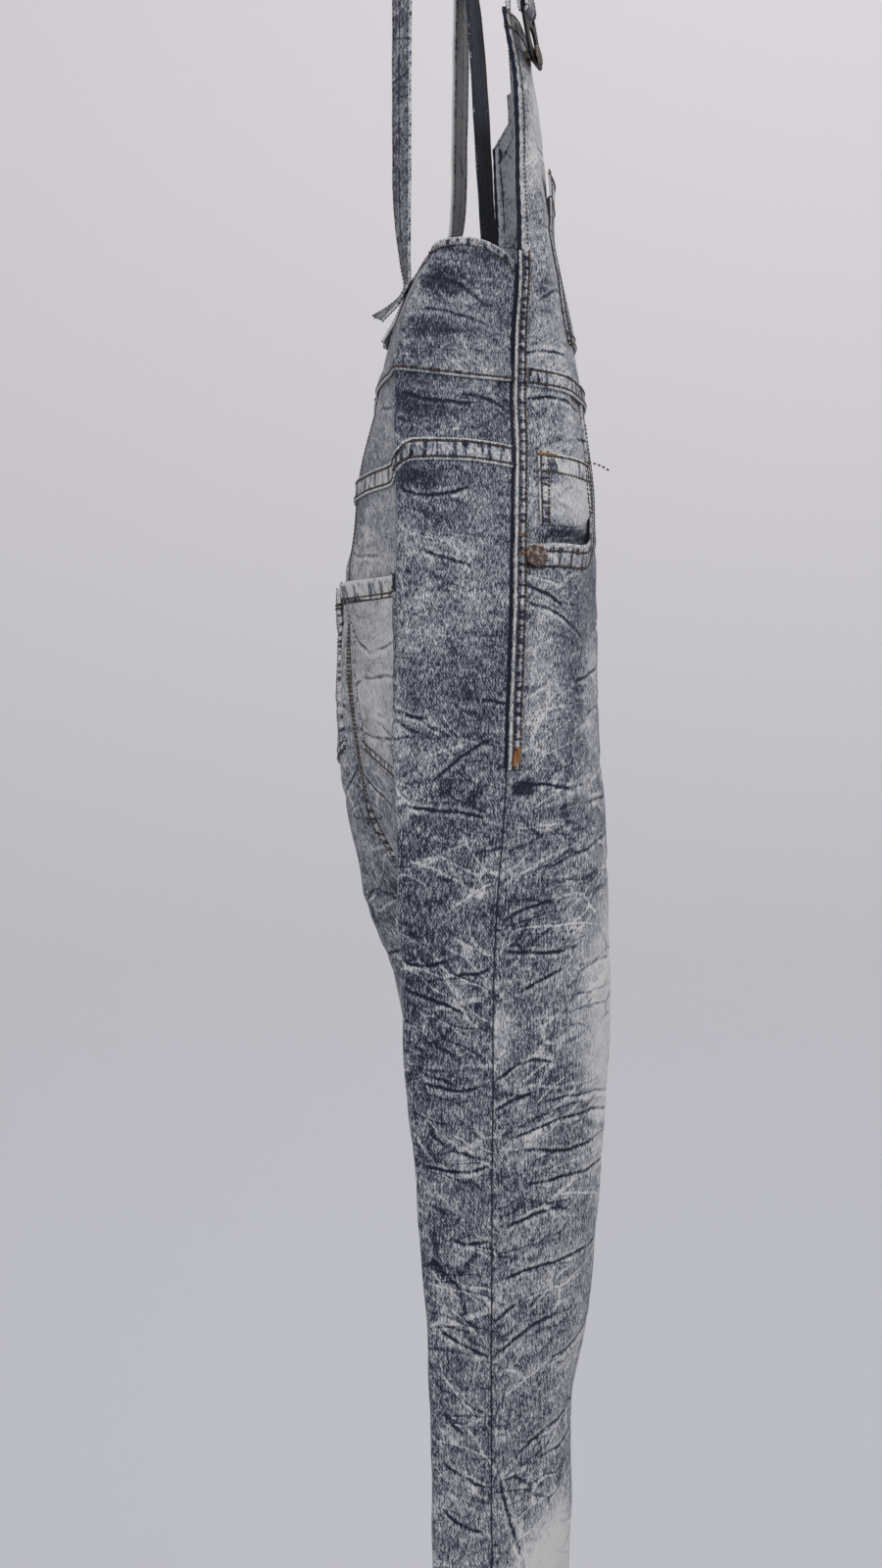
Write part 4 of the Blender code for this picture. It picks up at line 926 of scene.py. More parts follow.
@dataclass
class Cut:
    """One piece of the cut: stations and heights on the form, and how it is finished."""

    name: str
    side: Side
    first: float
    last: float
    top: Callable
    bottom: Callable
    lift: Callable = flat_lift
    thickness: float = CLOTH
    over_centre: bool = False
    shifts: tuple[float, float] = (0.0, 0.0)
    breaks: tuple[float, ...] = ()             # heights that a row of points follows
    across: Callable | None = None             # station by height and share of the width
    worn: tuple[Rim, ...] = ()                 # edges rubbed pale
    worn_width: float = 2.0                    # of the pale rolled edge, in mm
    # Shaded edges get a painted shadow along them
    shaded: tuple[Rim, ...] = ()               # edges in a seam's shadow
    thinned: tuple[Rim, ...] = ()              # edges pressed down to the cloth below
    hems: dict[Rim, float] = field(default_factory=dict)      # widths in mm
    rows: tuple[Row, ...] = ()
    tone: float = 0.0                          # paler above 0
    rests_on: tuple[str, ...] = ()
    solids: tuple[str, ...] = ("",)            # endings of the nodes that it stands for
    anchor: int = 0                            # the column that the cloth's pattern hangs on

    spacing_across = 3.5
    spacing_down = 2.4
    edge_steps = (0.9, 1.8, 2.8, 4.0)          # the points next to an edge,
    edge_share = 0.3                           # within this share of the way over
    narrow_seam = (-800.0, 2.6)                # its shadow is so much narrower below this
    roll, roll_at, furrow = 0.35, 1.2, 0.3     # a folded edge's roll, a row's furrow
    roll_width = 1.1                           # of both
    thinnest, thins_over = 0.4, (0.3, 3.0)     # a pressed edge's wall, and from where to where
    pinch = 0.28                               # of the wall, off each face at an edge
    samples, fine_steps = 160, 500             # points of a row, and of a measured line
    hem_far = 4.0                              # shares of a hem's width that leave no mark

    @property
    def sides(self) -> tuple[Side, ...]:
        """The halves that the piece lies on."""
        return (Side.RIGHT, Side.LEFT) if self.over_centre else (self.side,)

    def run(self, z: float, side: Side) -> tuple[Array, Array]:
        """Fine stations from the first edge to the last and the cloth's length to each."""
        fine = np.linspace(self.first, self.last, self.fine_steps)
        return fine, run_along(Form.on_section(np.full(fine.shape, z), fine, side))

    def heights(self, station: Array, side: Side) -> list[Array]:
        """Heights of the top and the bottom edge at stations of one half."""
        signed = station * side.value if self.over_centre else station
        return [np.broadcast_to(edge_of(signed), station.shape).astype(float)
                for edge_of in (self.top, self.bottom)]

    def shares(self, length: float) -> Array:
        """Shares of a length across at even steps, with closer ones next to each end."""
        count = max(int(round(length / self.spacing_across)), 3)
        even = np.arange(count + 1) / count
        near = np.array(self.edge_steps) / length
        near = near[near < self.edge_share]
        reach = near[-1] + 0.4 * self.spacing_across / length
        middle = even[(even > reach) & (even < 1 - reach)]
        return np.concatenate([[0], near, middle, 1 - near[::-1], [1]])

    def levels(self, tops: Array, bottoms: Array, rows: Sequence[Array]) -> Array:
        """Heights of the points, row by row through the breaks."""
        ends = [tops] + [np.full_like(tops, level) for level in self.breaks] + [bottoms]
        parts = []
        for k, share in enumerate(rows):
            part = ends[k] + (ends[k + 1] - ends[k]) * share[:, None]
            parts.append(part if k == 0 else part[1:])
        return np.concatenate(parts)

    def row_shares(self) -> list[Array]:
        """Shares of the rows between each two breaks, the same on both halves."""
        stations = np.linspace(self.first, self.last, 80)
        sides = (1, -1) if self.over_centre else (1,)
        high = max(float(np.max(self.top(stations * sign))) for sign in sides)
        low = min(float(np.min(self.bottom(stations))), high - 1)
        ends = [high, *self.breaks, low]
        shares = []
        for k, (upper, lower) in enumerate(zip(ends, ends[1:])):
            count = max(int(round((upper - lower) / self.spacing_down)), 2)
            share = np.arange(count + 1) / count
            near = np.array(self.edge_steps) / (upper - lower)
            near = near[near < self.edge_share]
            if k == 0:
                share = np.concatenate([[0], near, share[share > near[-1] + 0.3 / count]])
            if k == len(ends) - 2:
                share = np.concatenate([share[share < 1 - near[-1] - 0.3 / count],
                                        1 - near[::-1], [1]])
            shares.append(share)
        return shares

    def outer_lift(self, z: Array, station: Array, side: Side) -> tuple[Array, Array, Array]:
        """Lift of the outer face with the cloth's relief, and the creases' dye."""
        relief, away, dyed = RELIEF(z, station, side)
        return self.lift(z, station, side) + relief, away, dyed

    def half(self, side: Side) -> dict[str, Array]:
        """The grids of one half: outer and inner points, and what the dye needs."""
        middle = float(np.mean([self.top(self.last), self.bottom(self.last)]))
        fine, length = self.run(middle, side)
        width = length[-1] if self.across is None else PLACKET_WIDTH
        share = self.shares(width)
        stations = np.interp(share * length[-1], length, fine)
        tops, bottoms = self.heights(stations, side)
        z = self.levels(tops, bottoms, self.row_shares())
        if self.across is None:
            station = np.broadcast_to(stations, z.shape)
        else:
            station = self.across(z, share)
        shift = np.zeros_like(z)
        shift[:, 0], shift[:, -1] = self.shifts
        steps = np.linalg.norm(np.diff(Form.point(z, station, side, 0.0)[..., :2], axis=1),
                               axis=-1)
        u = np.concatenate([np.zeros((len(z), 1)), np.cumsum(steps, axis=1)], axis=1)
        marks = self.edges(u, z, (station - self.first) / (self.last - self.first))
        lift, away, dyed = self.outer_lift(z, station, side)
        rolled = self.roll * np.exp(-((marks["edge"] - self.roll_at) / self.roll_width) ** 2)
        sunk = self.furrow * np.exp(-(marks["row"] / self.roll_width) ** 2)
        pressed = (self.thickness - self.thinnest) * (1 - ease(*self.thins_over, marks["thin"]))
        lift = lift + rolled - sunk - pressed
        guard = not self.over_centre
        pinch = np.full_like(z, self.thickness * self.pinch)
        pinch[1:-1, 1:-1 if guard else None] = 0.0
        outer = Form.point(z, station, side, lift - pinch, shift, guard)
        inner = Form.point(z, station, side, lift - self.thickness + pinch, shift, guard)
        u = u - u[:, self.anchor][:, None]
        grids = {"outer": outer, "inner": inner, "u": u, "v": z, "crease": away,
                 "dyed": dyed, "fade": RELIEF.fade(z, station) + self.tone}
        return grids | marks

    def edges(self, u: Array, z: Array, across: Array) -> dict[str, Array]:
        """What the finish needs of the piece's edges and rows.

        Args:
            u: lengths across the cloth from the first edge.
            z: heights.
            across: shares of the stations from the first edge.

        Returns:
            Distances to the worn, shaded and thinned edges and to the nearest row, the
            share of a hem's width that each point lies in, and which way the hem runs.
        """
        away = {FIRST: u, LAST: u[:, -1:] - u, TOP: distance_to_line(u, z, u[0], z[0]),
                BOTTOM: distance_to_line(u, z, u[-1], z[-1])}
        found = {}
        # seam holds the distance to the shaded edges, for their painted shadow
        for name, rims in (("edge", self.worn), ("seam", self.shaded), ("thin", self.thinned)):
            found[name] = np.minimum.reduce([np.full(z.shape, FAR), *(away[rim] for rim in rims)])
        found["edge"] = found["edge"] * 2.0 / self.worn_width
        below, narrower = self.narrow_seam
        found["seam"] = found["seam"] * np.where(z < below, narrower, 1.0)
        down = (z[:1] - z) / (z[:1] - z[-1:])
        found["row"] = np.full(z.shape, FAR)
        for row in self.rows:
            share = across if row.rim in (TOP, BOTTOM) else down
            beyond = (share < row.start) | (share > row.end)
            near = np.where(beyond, FAR, np.abs(away[row.rim] - row.inset))
            found["row"] = np.minimum(found["row"], near)
        hem, upright = np.full(z.shape, self.hem_far), np.zeros(z.shape)
        for rim, width in self.hems.items():
            closer = away[rim] / width < hem
            hem = np.where(closer, away[rim] / width, hem)
            upright = np.where(closer, float(rim in (FIRST, LAST)), upright)
        return found | {"hem": hem, "upright": upright}

    def grids(self) -> dict[str, Array]:
        """The whole piece's grids, both halves joined where it lies over the centre."""
        halves = [self.half(side) for side in self.sides]
        if len(halves) == 1:
            return halves[0]
        right, left = halves
        joined = {}
        for key in right:
            a, b = right[key], left[key]
            if key == "u":
                b = 2 * a[:, -1:] - b
            joined[key] = np.concatenate([a, b[:, ::-1][:, 1:]], axis=1)
        return joined

    def line(self, side: Side, row: Row) -> tuple[Array, Array]:
        """Points of a row of stitches on the outer face, and the face's normals."""
        t = np.linspace(row.start, row.end, self.samples)
        if row.rim in (TOP, BOTTOM):
            z, station = self.level_line(side, row, t)
        else:
            z, station = self.upright_line(side, row, t)
        points = [Form.point(z, station, side, self.outer_lift(z, station, side)[0] + above,
                             guard=not self.over_centre) for above in (0.0, 1.0)]
        return points[0], unit(points[1] - points[0])

    def level_line(self, side: Side, row: Row, t: Array) -> tuple[Array, Array]:
        """Heights and stations of a row along the top or the bottom edge."""
        station = self.first + (self.last - self.first) * t
        z = self.heights(station, side)[0 if row.rim is TOP else 1]
        fine, length = self.run(float(z.mean()), side)
        order = np.argsort(fine)
        u = np.interp(station, fine[order], length[order])
        slope = np.gradient(z, u)
        inward = -1.0 if row.rim is TOP else 1.0
        shrink = row.inset / np.sqrt(1 + slope ** 2)
        u = np.clip(u - inward * slope * shrink, 0, length[-1])
        return z + inward * shrink, np.interp(u, length, fine)

    def upright_line(self, side: Side, row: Row, t: Array) -> tuple[Array, Array]:
        """Heights and stations of a row along the first or the last edge."""
        if self.across is not None:
            top, bottom = self.top(0.0), self.bottom(0.0)
            z = top + (bottom - top) * t
            share = row.inset / PLACKET_WIDTH
            return z, self.across(z, share if row.rim is FIRST else 1 - share)
        edge_of = self.first if row.rim is FIRST else self.last
        inward = math.copysign(1.0, self.last - self.first)
        inward *= 1.0 if row.rim is FIRST else -1.0
        step = 0.1
        place = edge_of + inward * step
        top, bottom = self.heights(np.array(place), side)
        z = top + (bottom - top) * t
        here = Form.on_section(z, np.full_like(z, edge_of), side)
        inside = Form.on_section(z, np.full_like(z, place), side)
        per_station = np.linalg.norm(inside - here, axis=-1) / step
        return z, edge_of + inward * row.inset / per_station

    def build(self, finish: Material) -> bpy.types.Object:
        grids = self.grids()
        piece = wall_object(self.name + "_cloth", grids, finish)
        finish_piece(piece, "denim", *(self.name + ending for ending in self.solids))
        declare_sheet(piece, grids["outer"])
        return piece


def distance_to_line(u: Array, z: Array, line_u: Array, line_z: Array) -> Array:
    """Distances from the points of a grid to a line of points."""
    nearest = np.full(u.shape, 2 * FAR)
    for a_u, a_z, b_u, b_z in zip(line_u, line_z, line_u[1:], line_z[1:]):
        length = (b_u - a_u) ** 2 + (b_z - a_z) ** 2
        t = np.clip(((u - a_u) * (b_u - a_u) + (z - a_z) * (b_z - a_z)) / length, 0, 1)
        away = np.hypot(u - a_u - t * (b_u - a_u), z - a_z - t * (b_z - a_z))
        nearest = np.minimum(nearest, away)
    return nearest


NARROWEST = 0.0102       # metres; a sheet's flat width is at least this


def declare_sheet(piece: bpy.types.Object, outer: Array) -> None:
    """States a hung sheet's flat cut, measured on its outer face."""
    across = np.linalg.norm(np.diff(outer, axis=1), axis=-1).sum(axis=1).max() * MM
    down = np.linalg.norm(np.diff(outer, axis=0), axis=-1).sum(axis=0).max() * MM
    a, b = outer[1:, :-1] - outer[:-1, :-1], outer[:-1, 1:] - outer[:-1, :-1]
    c, d = outer[1:, :-1] - outer[1:, 1:], outer[:-1, 1:] - outer[1:, 1:]
    area = (np.linalg.norm(np.cross(a, b), axis=-1).sum()
            + np.linalg.norm(np.cross(c, d), axis=-1).sum()) / 2 * MM * MM
    area = float(min(area, across * down))
    across = max(across, NARROWEST)
    LOG.info("%s: cut %.3f x %.3f m, %.4f square metres, %d faces", piece.name, across, down,
             area, len(piece.data.polygons))


def placed(name: str, data: bpy.types.ID) -> bpy.types.Object:
    """A new object of this data, in the scene."""
    made = bpy.data.objects.new(name, data)
    bpy.context.scene.collection.objects.link(made)
    return made


def plain_mesh(guide: bpy.types.Object, name: str) -> bpy.types.Mesh:
    """The mesh that a guide's curves or modifiers come to; the guide goes."""
    depsgraph = bpy.context.evaluated_depsgraph_get()
    mesh = bpy.data.meshes.new_from_object(guide.evaluated_get(depsgraph))
    bpy.data.objects.remove(guide)
    mesh.name = name
    return mesh


def smoothed(mesh: bpy.types.Mesh, sharp_from: float, finish: Material) -> None:
    """Shades a mesh smooth between its edges over this angle, and gives it its finish."""
    mesh.shade_smooth()
    mesh.set_sharp_from_angle(angle=math.radians(sharp_from))
    mesh.materials.clear()
    mesh.materials.append(finish)


def wall_object(name: str, grids: dict[str, Array], finish: Material,
                inside: tuple[float, float] = (0.0, 1.0)) -> bpy.types.Object:
    """A closed wall of cloth between two grids.

    Args:
        name: the object's name.
        grids: "outer" and "inner" points, "u" and "v" in mm, and numbers to carry.
        finish: its material.
        inside: how much each of the two faces is the cloth's reverse.

    Returns:
        The object, at the origin, in metres.
    """
    rows, cols = grids["v"].shape
    index = np.arange(rows * cols).reshape(rows, cols)
    half = rows * cols
    a, b, c, d = (part.ravel() for part in (index[:-1, :-1], index[:-1, 1:],
                                            index[1:, 1:], index[1:, :-1]))
    rim = np.concatenate([index[0], index[1:, -1], index[-1, -2::-1], index[-2:0:-1, 0]])
    after = np.roll(rim, -1)
    faces = np.concatenate([np.stack([a, b, c, d], 1), np.stack([d, c, b, a], 1) + half,
                            np.stack([rim, rim + half, after + half, after], 1)])
    outer, inner = grids["outer"], grids["inner"]
    normals = np.cross(outer[:-1, 1:] - outer[:-1, :-1], outer[1:, :-1] - outer[:-1, :-1])
    if np.sum(normals * (outer - inner)[:-1, :-1]) < 0:
        faces = faces[:, ::-1]
    points = np.concatenate([outer.reshape(-1, 3), inner.reshape(-1, 3)])
    mesh = bpy.data.meshes.new(name)
    mesh.from_pydata((points * MM).tolist(), [], faces.tolist())
    uv = np.tile(np.stack([grids["u"].ravel(), grids["v"].ravel()], 1) * MM, (2, 1))
    corners = np.empty(len(mesh.loops), np.int32)
    mesh.loops.foreach_get("vertex_index", corners)
    mesh.uv_layers.new(name="cloth").data.foreach_set("uv", uv[corners].ravel())
    carried = {key: np.tile(grids[key].ravel(), 2)
               for key in ("crease", "dyed", "edge", "hem", "upright", "fade", "row", "seam")}
    carried["inside"] = np.repeat(inside, half)
    for key, values in carried.items():
        made = mesh.attributes.new(key, "FLOAT", "POINT")
        made.data.foreach_set("value", values.astype(np.float32))
    smoothed(mesh, 60, finish)
    return placed(name, mesh)


def finish_piece(piece: bpy.types.Object, slot: str, *replaced: str) -> None:
    """Rides the piece on the one body and hides the nodes it stands for."""
    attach(piece, "root")
    if replaced:
        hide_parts(*replaced)


# -------------------- stitching

@dataclass(frozen=True)
class StitchKind:
    """How a row is sewn."""

    pitch: float            # mm from stitch to stitch
    length: float
    thickness: float
    turned: bool = False    # across the row, as in a bartack


STITCHES = {
    Stitch.BROWN: StitchKind(3.2, 2.8, 1.7),
    Stitch.FINE: StitchKind(2.8, 2.4, 0.95),
    Stitch.TACK: StitchKind(0.8, 3.8, 0.9, True),
}


class StitchTree:
    """Geometry Nodes that lay stitches along rows of edges."""

    sway = 0.13              # radians that a stitch may turn either way
    segments, rings = 5, 4   # of a stitch's bead

    def __init__(self) -> None:
        """Builds the tree with named inputs for its sizes."""
        self.tree = bpy.data.node_groups.new("stitch_rows", "GeometryNodeTree")
        face = self.tree.interface
        face.new_socket("Rows", in_out="INPUT", socket_type="NodeSocketGeometry")
        self.inputs = {}
        for name, kind in (("Pitch", "Float"), ("Length", "Float"), ("Thickness", "Float"),
                           ("Turn", "Float"), ("Seed", "Int"), ("Thread", "Material")):
            made = face.new_socket(name, in_out="INPUT", socket_type="NodeSocket" + kind)
            self.inputs[name] = made.identifier
        face.new_socket("Stitches", in_out="OUTPUT", socket_type="NodeSocketGeometry")
        self.link_up()

    def link_up(self) -> None:
        """Adds the nodes: points along each row, and a bead turned to the row at each."""
        tree = self.tree
        given = node(tree, "NodeGroupInput").outputs
        curve = node(tree, "GeometryNodeMeshToCurve", {"Mesh": given["Rows"]})
        points = node(tree, "GeometryNodeResampleCurve",
                      {"Curve": curve.outputs["Curve"], "Length": given["Pitch"]},
                      mode="LENGTH")
        tangent = node(tree, "GeometryNodeInputTangent").outputs["Tangent"]
        normal = node(tree, "GeometryNodeInputNamedAttribute", {"Name": "face"},
                      data_type="FLOAT_VECTOR").outputs["Attribute"]
        laid = node(tree, "FunctionNodeAxesToRotation",
                    {"Primary Axis": normal, "Secondary Axis": tangent},
                    primary_axis="Z", secondary_axis="X").outputs["Rotation"]
        sway = node(tree, "FunctionNodeRandomValue",
                    {2: -self.sway, 3: self.sway, "Seed": given["Seed"]}, data_type="FLOAT")
        angle = node(tree, "ShaderNodeMath", {0: sway.outputs[1], 1: given["Turn"]},
                     operation="ADD").outputs[0]
        spin = node(tree, "ShaderNodeCombineXYZ", {"Z": angle}).outputs["Vector"]
        turned = node(tree, "FunctionNodeRotateRotation",
                      {"Rotation": laid, "Rotate By": spin}, rotation_space="LOCAL")
        size = node(tree, "ShaderNodeCombineXYZ",
                    {"X": given["Length"], "Y": given["Thickness"],
                     "Z": given["Thickness"]}).outputs["Vector"]
        bead = node(tree, "GeometryNodeMeshUVSphere",
                    {"Segments": self.segments, "Rings": self.rings, "Radius": 0.5})
        stitch = node(tree, "GeometryNodeTransform",
                      {"Geometry": bead.outputs["Mesh"], "Scale": size})
        laid_out = node(tree, "GeometryNodeInstanceOnPoints",
                        {"Points": points.outputs["Curve"],
                         "Instance": stitch.outputs["Geometry"],
                         "Rotation": turned.outputs["Rotation"]})
        solid = node(tree, "GeometryNodeRealizeInstances",
                     {"Geometry": laid_out.outputs["Instances"]})
        smooth = node(tree, "GeometryNodeSetShadeSmooth", {"Geometry": solid.outputs[0]})
        painted = node(tree, "GeometryNodeSetMaterial",
                       {"Geometry": smooth.outputs[0], "Material": given["Thread"]})
        node(tree, "NodeGroupOutput", {"Stitches": painted.outputs["Geometry"]})


class Sewing:
    """All the rows of each kind of stitch, gathered from the pieces and then sewn."""

    seed = 3

    def __init__(self, threads: dict[Stitch, Material]) -> None:
        """Starts with no rows."""
        self.tree = StitchTree()
        self.threads = threads
        self.rows: dict[Stitch, list[tuple[Array, Array]]] = {kind: [] for kind in Stitch}

    def add(self, stitch: Stitch, points: Array, normals: Array) -> None:
        """Adds a row by its points and the cloth's normals there."""
        self.rows[stitch].append((points, normals))

    def add_cut(self, cut: Cut) -> None:
        """Adds the rows that a piece of the cut lists."""
        for row in cut.rows:
            for side in cut.sides:
                self.add(row.stitch, *cut.line(side, row))

    def build(self) -> None:
        """Sews each kind's rows as one piece."""
        for stitch, rows in self.rows.items():
            if rows:
                self.sew(stitch, rows)

    def sew(self, stitch: Stitch, rows: list[tuple[Array, Array]]) -> None:
        """Runs the tree on the rows and keeps its result as a plain mesh."""
        points = np.concatenate([row[0] for row in rows]) * MM
        normals = np.concatenate([row[1] for row in rows])
        edges, start = [], 0
        for row, _ in rows:
            edges += [(start + i, start + i + 1) for i in range(len(row) - 1)]
            start += len(row)
        mesh = bpy.data.meshes.new("rows")
        mesh.from_pydata(points.tolist(), edges, [])
        carried = mesh.attributes.new("face", "FLOAT_VECTOR", "POINT")
        carried.data.foreach_set("vector", normals.astype(np.float32).ravel())
        guide = placed("rows", mesh)
        modifier = guide.modifiers.new("stitches", "NODES")
        modifier.node_group = self.tree.tree
        kind = STITCHES[stitch]
        settings = {"Pitch": kind.pitch * MM, "Length": kind.length * MM,
                    "Thickness": kind.thickness * MM,
                    "Turn": math.pi / 2 if kind.turned else 0.0,
                    "Seed": self.seed, "Thread": self.threads[stitch]}
        for key, value in settings.items():
            modifier[self.tree.inputs[key]] = value
        sewn = plain_mesh(guide, stitch.value)
        finish_piece(placed(stitch.value, sewn), "denim")
        LOG.info("%s: %d rows, %d faces", stitch.value, len(rows), len(sewn.polygons))


# -------------------- front

HALF_GAP = SEAM_GAP / 2
LEG_SOLIDS = ("_top", "_thigh", "_shin")
FELLED = (1.8, 7.8)                # insets of the two rows of a felled or patched edge
NEAR_EDGE = 2.6                    # of the row beside a band's edge
LEG_HEM = 12.5


def level(height: float) -> Callable:
    """An edge of the cut that runs level at this height."""
    return lambda station: np.full(np.shape(station), float(height))


class Front:
    """The front's panels, bands and pockets."""

    bib_roll = 1.5                   # how far the bib's rolled side edge stands out
    bib_roll_scale = 52              # of a station, in the roll's own measure,
    bib_roll_in = 4.0                # in which its middle lies so far from the edge
    bib_roll_width = 3.6             # and its sides slope over this
    bib_roll_pitch = 11.0            # mm, of its twist
    bib_roll_over = (-440, -410)     # heights over which it sets in

    def cuts(self) -> list[Cut]:
        """The front's pieces of the cut."""
        pieces = [self.bib(), self.bib_band(), self.bib_pocket(), self.coin_pocket()]
        for side in Side:
            pieces += [self.leg(side), self.facing(side), self.placket(side)]
        return pieces

    def roll(self, z: Array, station: Array, side: Side) -> Array:
        """The bib's armhole edge, rolled and twisted like a rope above the placket."""
        inset = (SEAM - station) * self.bib_roll_scale - self.bib_roll_in
        twist = 1 + 0.45 * np.sin(2 * math.pi * (z / self.bib_roll_pitch + inset / 13))
        round_off = np.exp(-(inset / self.bib_roll_width) ** 2)
        return self.bib_roll * round_off * twist * ease(*self.bib_roll_over, z)

    def bib(self) -> Cut:
        """The front bib, in one piece over the centre."""
        # The shaded first edge paints the shadow under the rolled armhole edge, beside its pale
        # roll
        return Cut("front_bib", Side.RIGHT, SEAM, 0.0, bib_top,
                   lambda s: bib_seam(np.abs(s)) + HALF_GAP, self.roll, over_centre=True,
                   worn=(FIRST, TOP), worn_width=8.5, shaded=(FIRST,), hems={TOP: 15.0},
                   rows=(*rows_at(TOP, 2.5, 14.0), Row(FIRST, 9.0, 0.0, 0.64)),
                   tone=0.4, rests_on=("buckle_right", "buckle_left"))

    def bib_band(self) -> Cut:
        """The lapped band over the bib's seam."""
        half = BIB_BAND_WIDTH / 2
        return Cut("bib_band", Side.RIGHT, BAND_END, 0.0,
                   lambda s: bib_seam(np.abs(s)) + half, lambda s: bib_seam(np.abs(s)) - half,
                   patch_lift, PATCH, over_centre=True, worn=(TOP, BOTTOM),
                   hems={TOP: half, BOTTOM: half}, rests_on=("front_bib",),
                   rows=(Row(TOP, NEAR_EDGE), Row(BOTTOM, NEAR_EDGE)))

    def bib_pocket(self) -> Cut:
        """The pocket on the bib, its mouth a little open."""
        def lift(z: Array, station: Array, side: Side) -> Array:
            """Furthest off the bib at the mouth."""
            down = 1 - ease(0, BIB_GAPE_DEPTH, BIB_POCKET_TOP - z)
            return LAYER_GAP + PATCH + BIB_GAPE * down

        return Cut("bib_pocket", Side.RIGHT, BIB_POCKET_SIDE, 0.0, level(BIB_POCKET_TOP),
                   level(BIB_POCKET_BOTTOM), lift, PATCH, over_centre=True,
                   worn=(FIRST, TOP, BOTTOM), hems={TOP: 22.0, FIRST: 8.0, BOTTOM: 8.0},
                   rows=(*rows_at(TOP, 2.5, 20.0), *rows_at(FIRST, *FELLED),
                         *rows_at(BOTTOM, *FELLED), tack(FIRST, 5.0, 0.0, 0.09)),
                   rests_on=("front_bib",))

    def coin_pocket(self) -> Cut:
        """The small pocket on the right facing."""
        def top(station: Array) -> Array:
            """The slanting mouth."""
            return COIN_TOP + COIN_SLANT * (station - COIN_OUTER)

        def bottom(station: Array) -> Array:
            """Just above the hip pocket's mouth."""
            return np.maximum(pocket_edge(station), POCKET_MOUTH) + COIN_ABOVE_MOUTH

        return Cut("coin_pocket", Side.RIGHT, COIN_INNER, COIN_OUTER, top, bottom,
                   patch_lift, PATCH, worn=(TOP, LAST, FIRST),
                   hems={TOP: 15.0, LAST: 9.0, FIRST: 9.0},
                   rows=(*rows_at(TOP, 2.3, 14.5), *rows_at(LAST, *FELLED),
                         *rows_at(FIRST, *FELLED), tack(TOP, 1.8, 0.72, 0.97)),
                   tone=0.4, rests_on=("hip_facing_right",))

    def leg(self, side: Side) -> Cut:
        """A front leg, its upper edge cut out for the hip pocket's mouth."""
        return Cut("front_leg_" + side.word, side, 0.0, SEAM,
                   lambda s: pocket_edge(s) - HALF_GAP, level(HEM), self.pocket_gape,
                   shifts=(HALF_GAP, -HALF_GAP), breaks=(LEVEL_FROM, CROTCH),
                   worn=(TOP, BOTTOM), worn_width=4.0, anchor=-1,
                   hems={TOP: 17.0, BOTTOM: 14.0, FIRST: 5.0},
                   rows=(Row(TOP, 6.0, 0.30, 1.0), Row(TOP, 17.0, 0.34, 1.0),
                         Row(BOTTOM, LEG_HEM), *rows_at(FIRST, *FELLED, end=0.30),
                         tack(TOP, 3.0, 0.86, 0.93)),
                   rests_on=("front_bib",), solids=LEG_SOLIDS)

    @staticmethod
    def loose_thread() -> tuple[Array, Array]:
        """A thread's end that hangs off the coin pocket's upper corner."""
        height = np.array([COIN_TOP + COIN_SLANT * (COIN_INNER - COIN_OUTER)])
        corner = Form.point(height, np.array([COIN_INNER]), Side.RIGHT, 3.0)
        t = np.linspace(0, 1, 24)[:, None]
        points = corner + t * (-3.0, -9.0, 1.0) + t * t * (0.0, -4.0, -6.0)
        return points, np.tile((-1.0, 0.0, 0.0), (len(t), 1))

    @staticmethod
    def pocket_gape(z: Array, station: Array, side: Side) -> Array:
        """How far the hip pocket's edge stands off the body."""
        across = ease(1.2, 1.9, station) * (1 - ease(2.35, 2.72, station))
        down = 1 - ease(0, HIP_GAPE_DEPTH, pocket_edge(station) - z)
        return HIP_GAPE * across * down

    def facing(self, side: Side) -> Cut:
        """The hip pocket's facing, level above the mouth and behind the leg below it."""
        def lift(z: Array, station: Array, _side: Side) -> Array:
            """Level with the leg above the mouth, and under it below."""
            above = ease(2, 12, z - pocket_edge(station))
            clear = 0.1 + FACING_CLEAR * ease(1.25, 1.6, station)
            return -(CLOTH + clear) * (1 - above * ease(1.3, 1.7, station))

        return Cut("hip_facing_" + side.word, side, FACING_START, SEAM,
                   lambda s: bib_seam(s) - HALF_GAP, level(FACING_BOTTOM), lift,
                   shifts=(0.0, -HALF_GAP), tone=0.1, rests_on=("front_bib",), anchor=-1)

    def placket(self, side: Side) -> Cut:
        """The buttoned strip down the front's side edge."""
        def lift(z: Array, station: Array, _side: Side) -> Array:
            """On top of the panels."""
            return np.full(z.shape, PLACKET_LIFT + PATCH)

        def across(z: Array, share: Array | float) -> Array:
            """Stations of a strip that keeps its width."""
            distance = PLACKET_WIDTH + (PLACKET_INSET - PLACKET_WIDTH) * share
            return placket_station(z, distance)

        return Cut("side_placket_" + side.word, side, 2.8, SEAM, level(PLACKET_TOP),
                   level(PLACKET_BOTTOM), lift, PATCH, across=across, worn=(LAST,),
                   worn_width=3.2, thinned=(FIRST,), hems={FIRST: 7.3}, tone=0.3,
                   rows=(Row(FIRST, 1.3), Row(LAST, 2.7),
                         *(tack(FIRST, *place) for place in (
                             (5.0, 0.553, 0.559), (3.0, 0.588, 0.595), (2.2, 0.957, 0.985),
                             (5.2, 0.965, 0.993)))),
                   rests_on=("front_bib", f"front_leg_{side.word}_top"))


def placket_station(z: Array, distance: Array | float, step: float = 0.3) -> Array:
    """Station on the front, so far from the side seam, as measured over one step."""
    seam, inside = (Form.on_section(z, np.full_like(z, at), Side.RIGHT)
                    for at in (SEAM, SEAM - step))
    return SEAM - step * distance / np.linalg.norm(seam - inside, axis=-1)


def patch_lift(z: Array, station: Array, side: Side) -> Array:
    """Outer face of a patch that lies flat on a panel."""
    return np.full(np.shape(z), LAYER_GAP + PATCH)


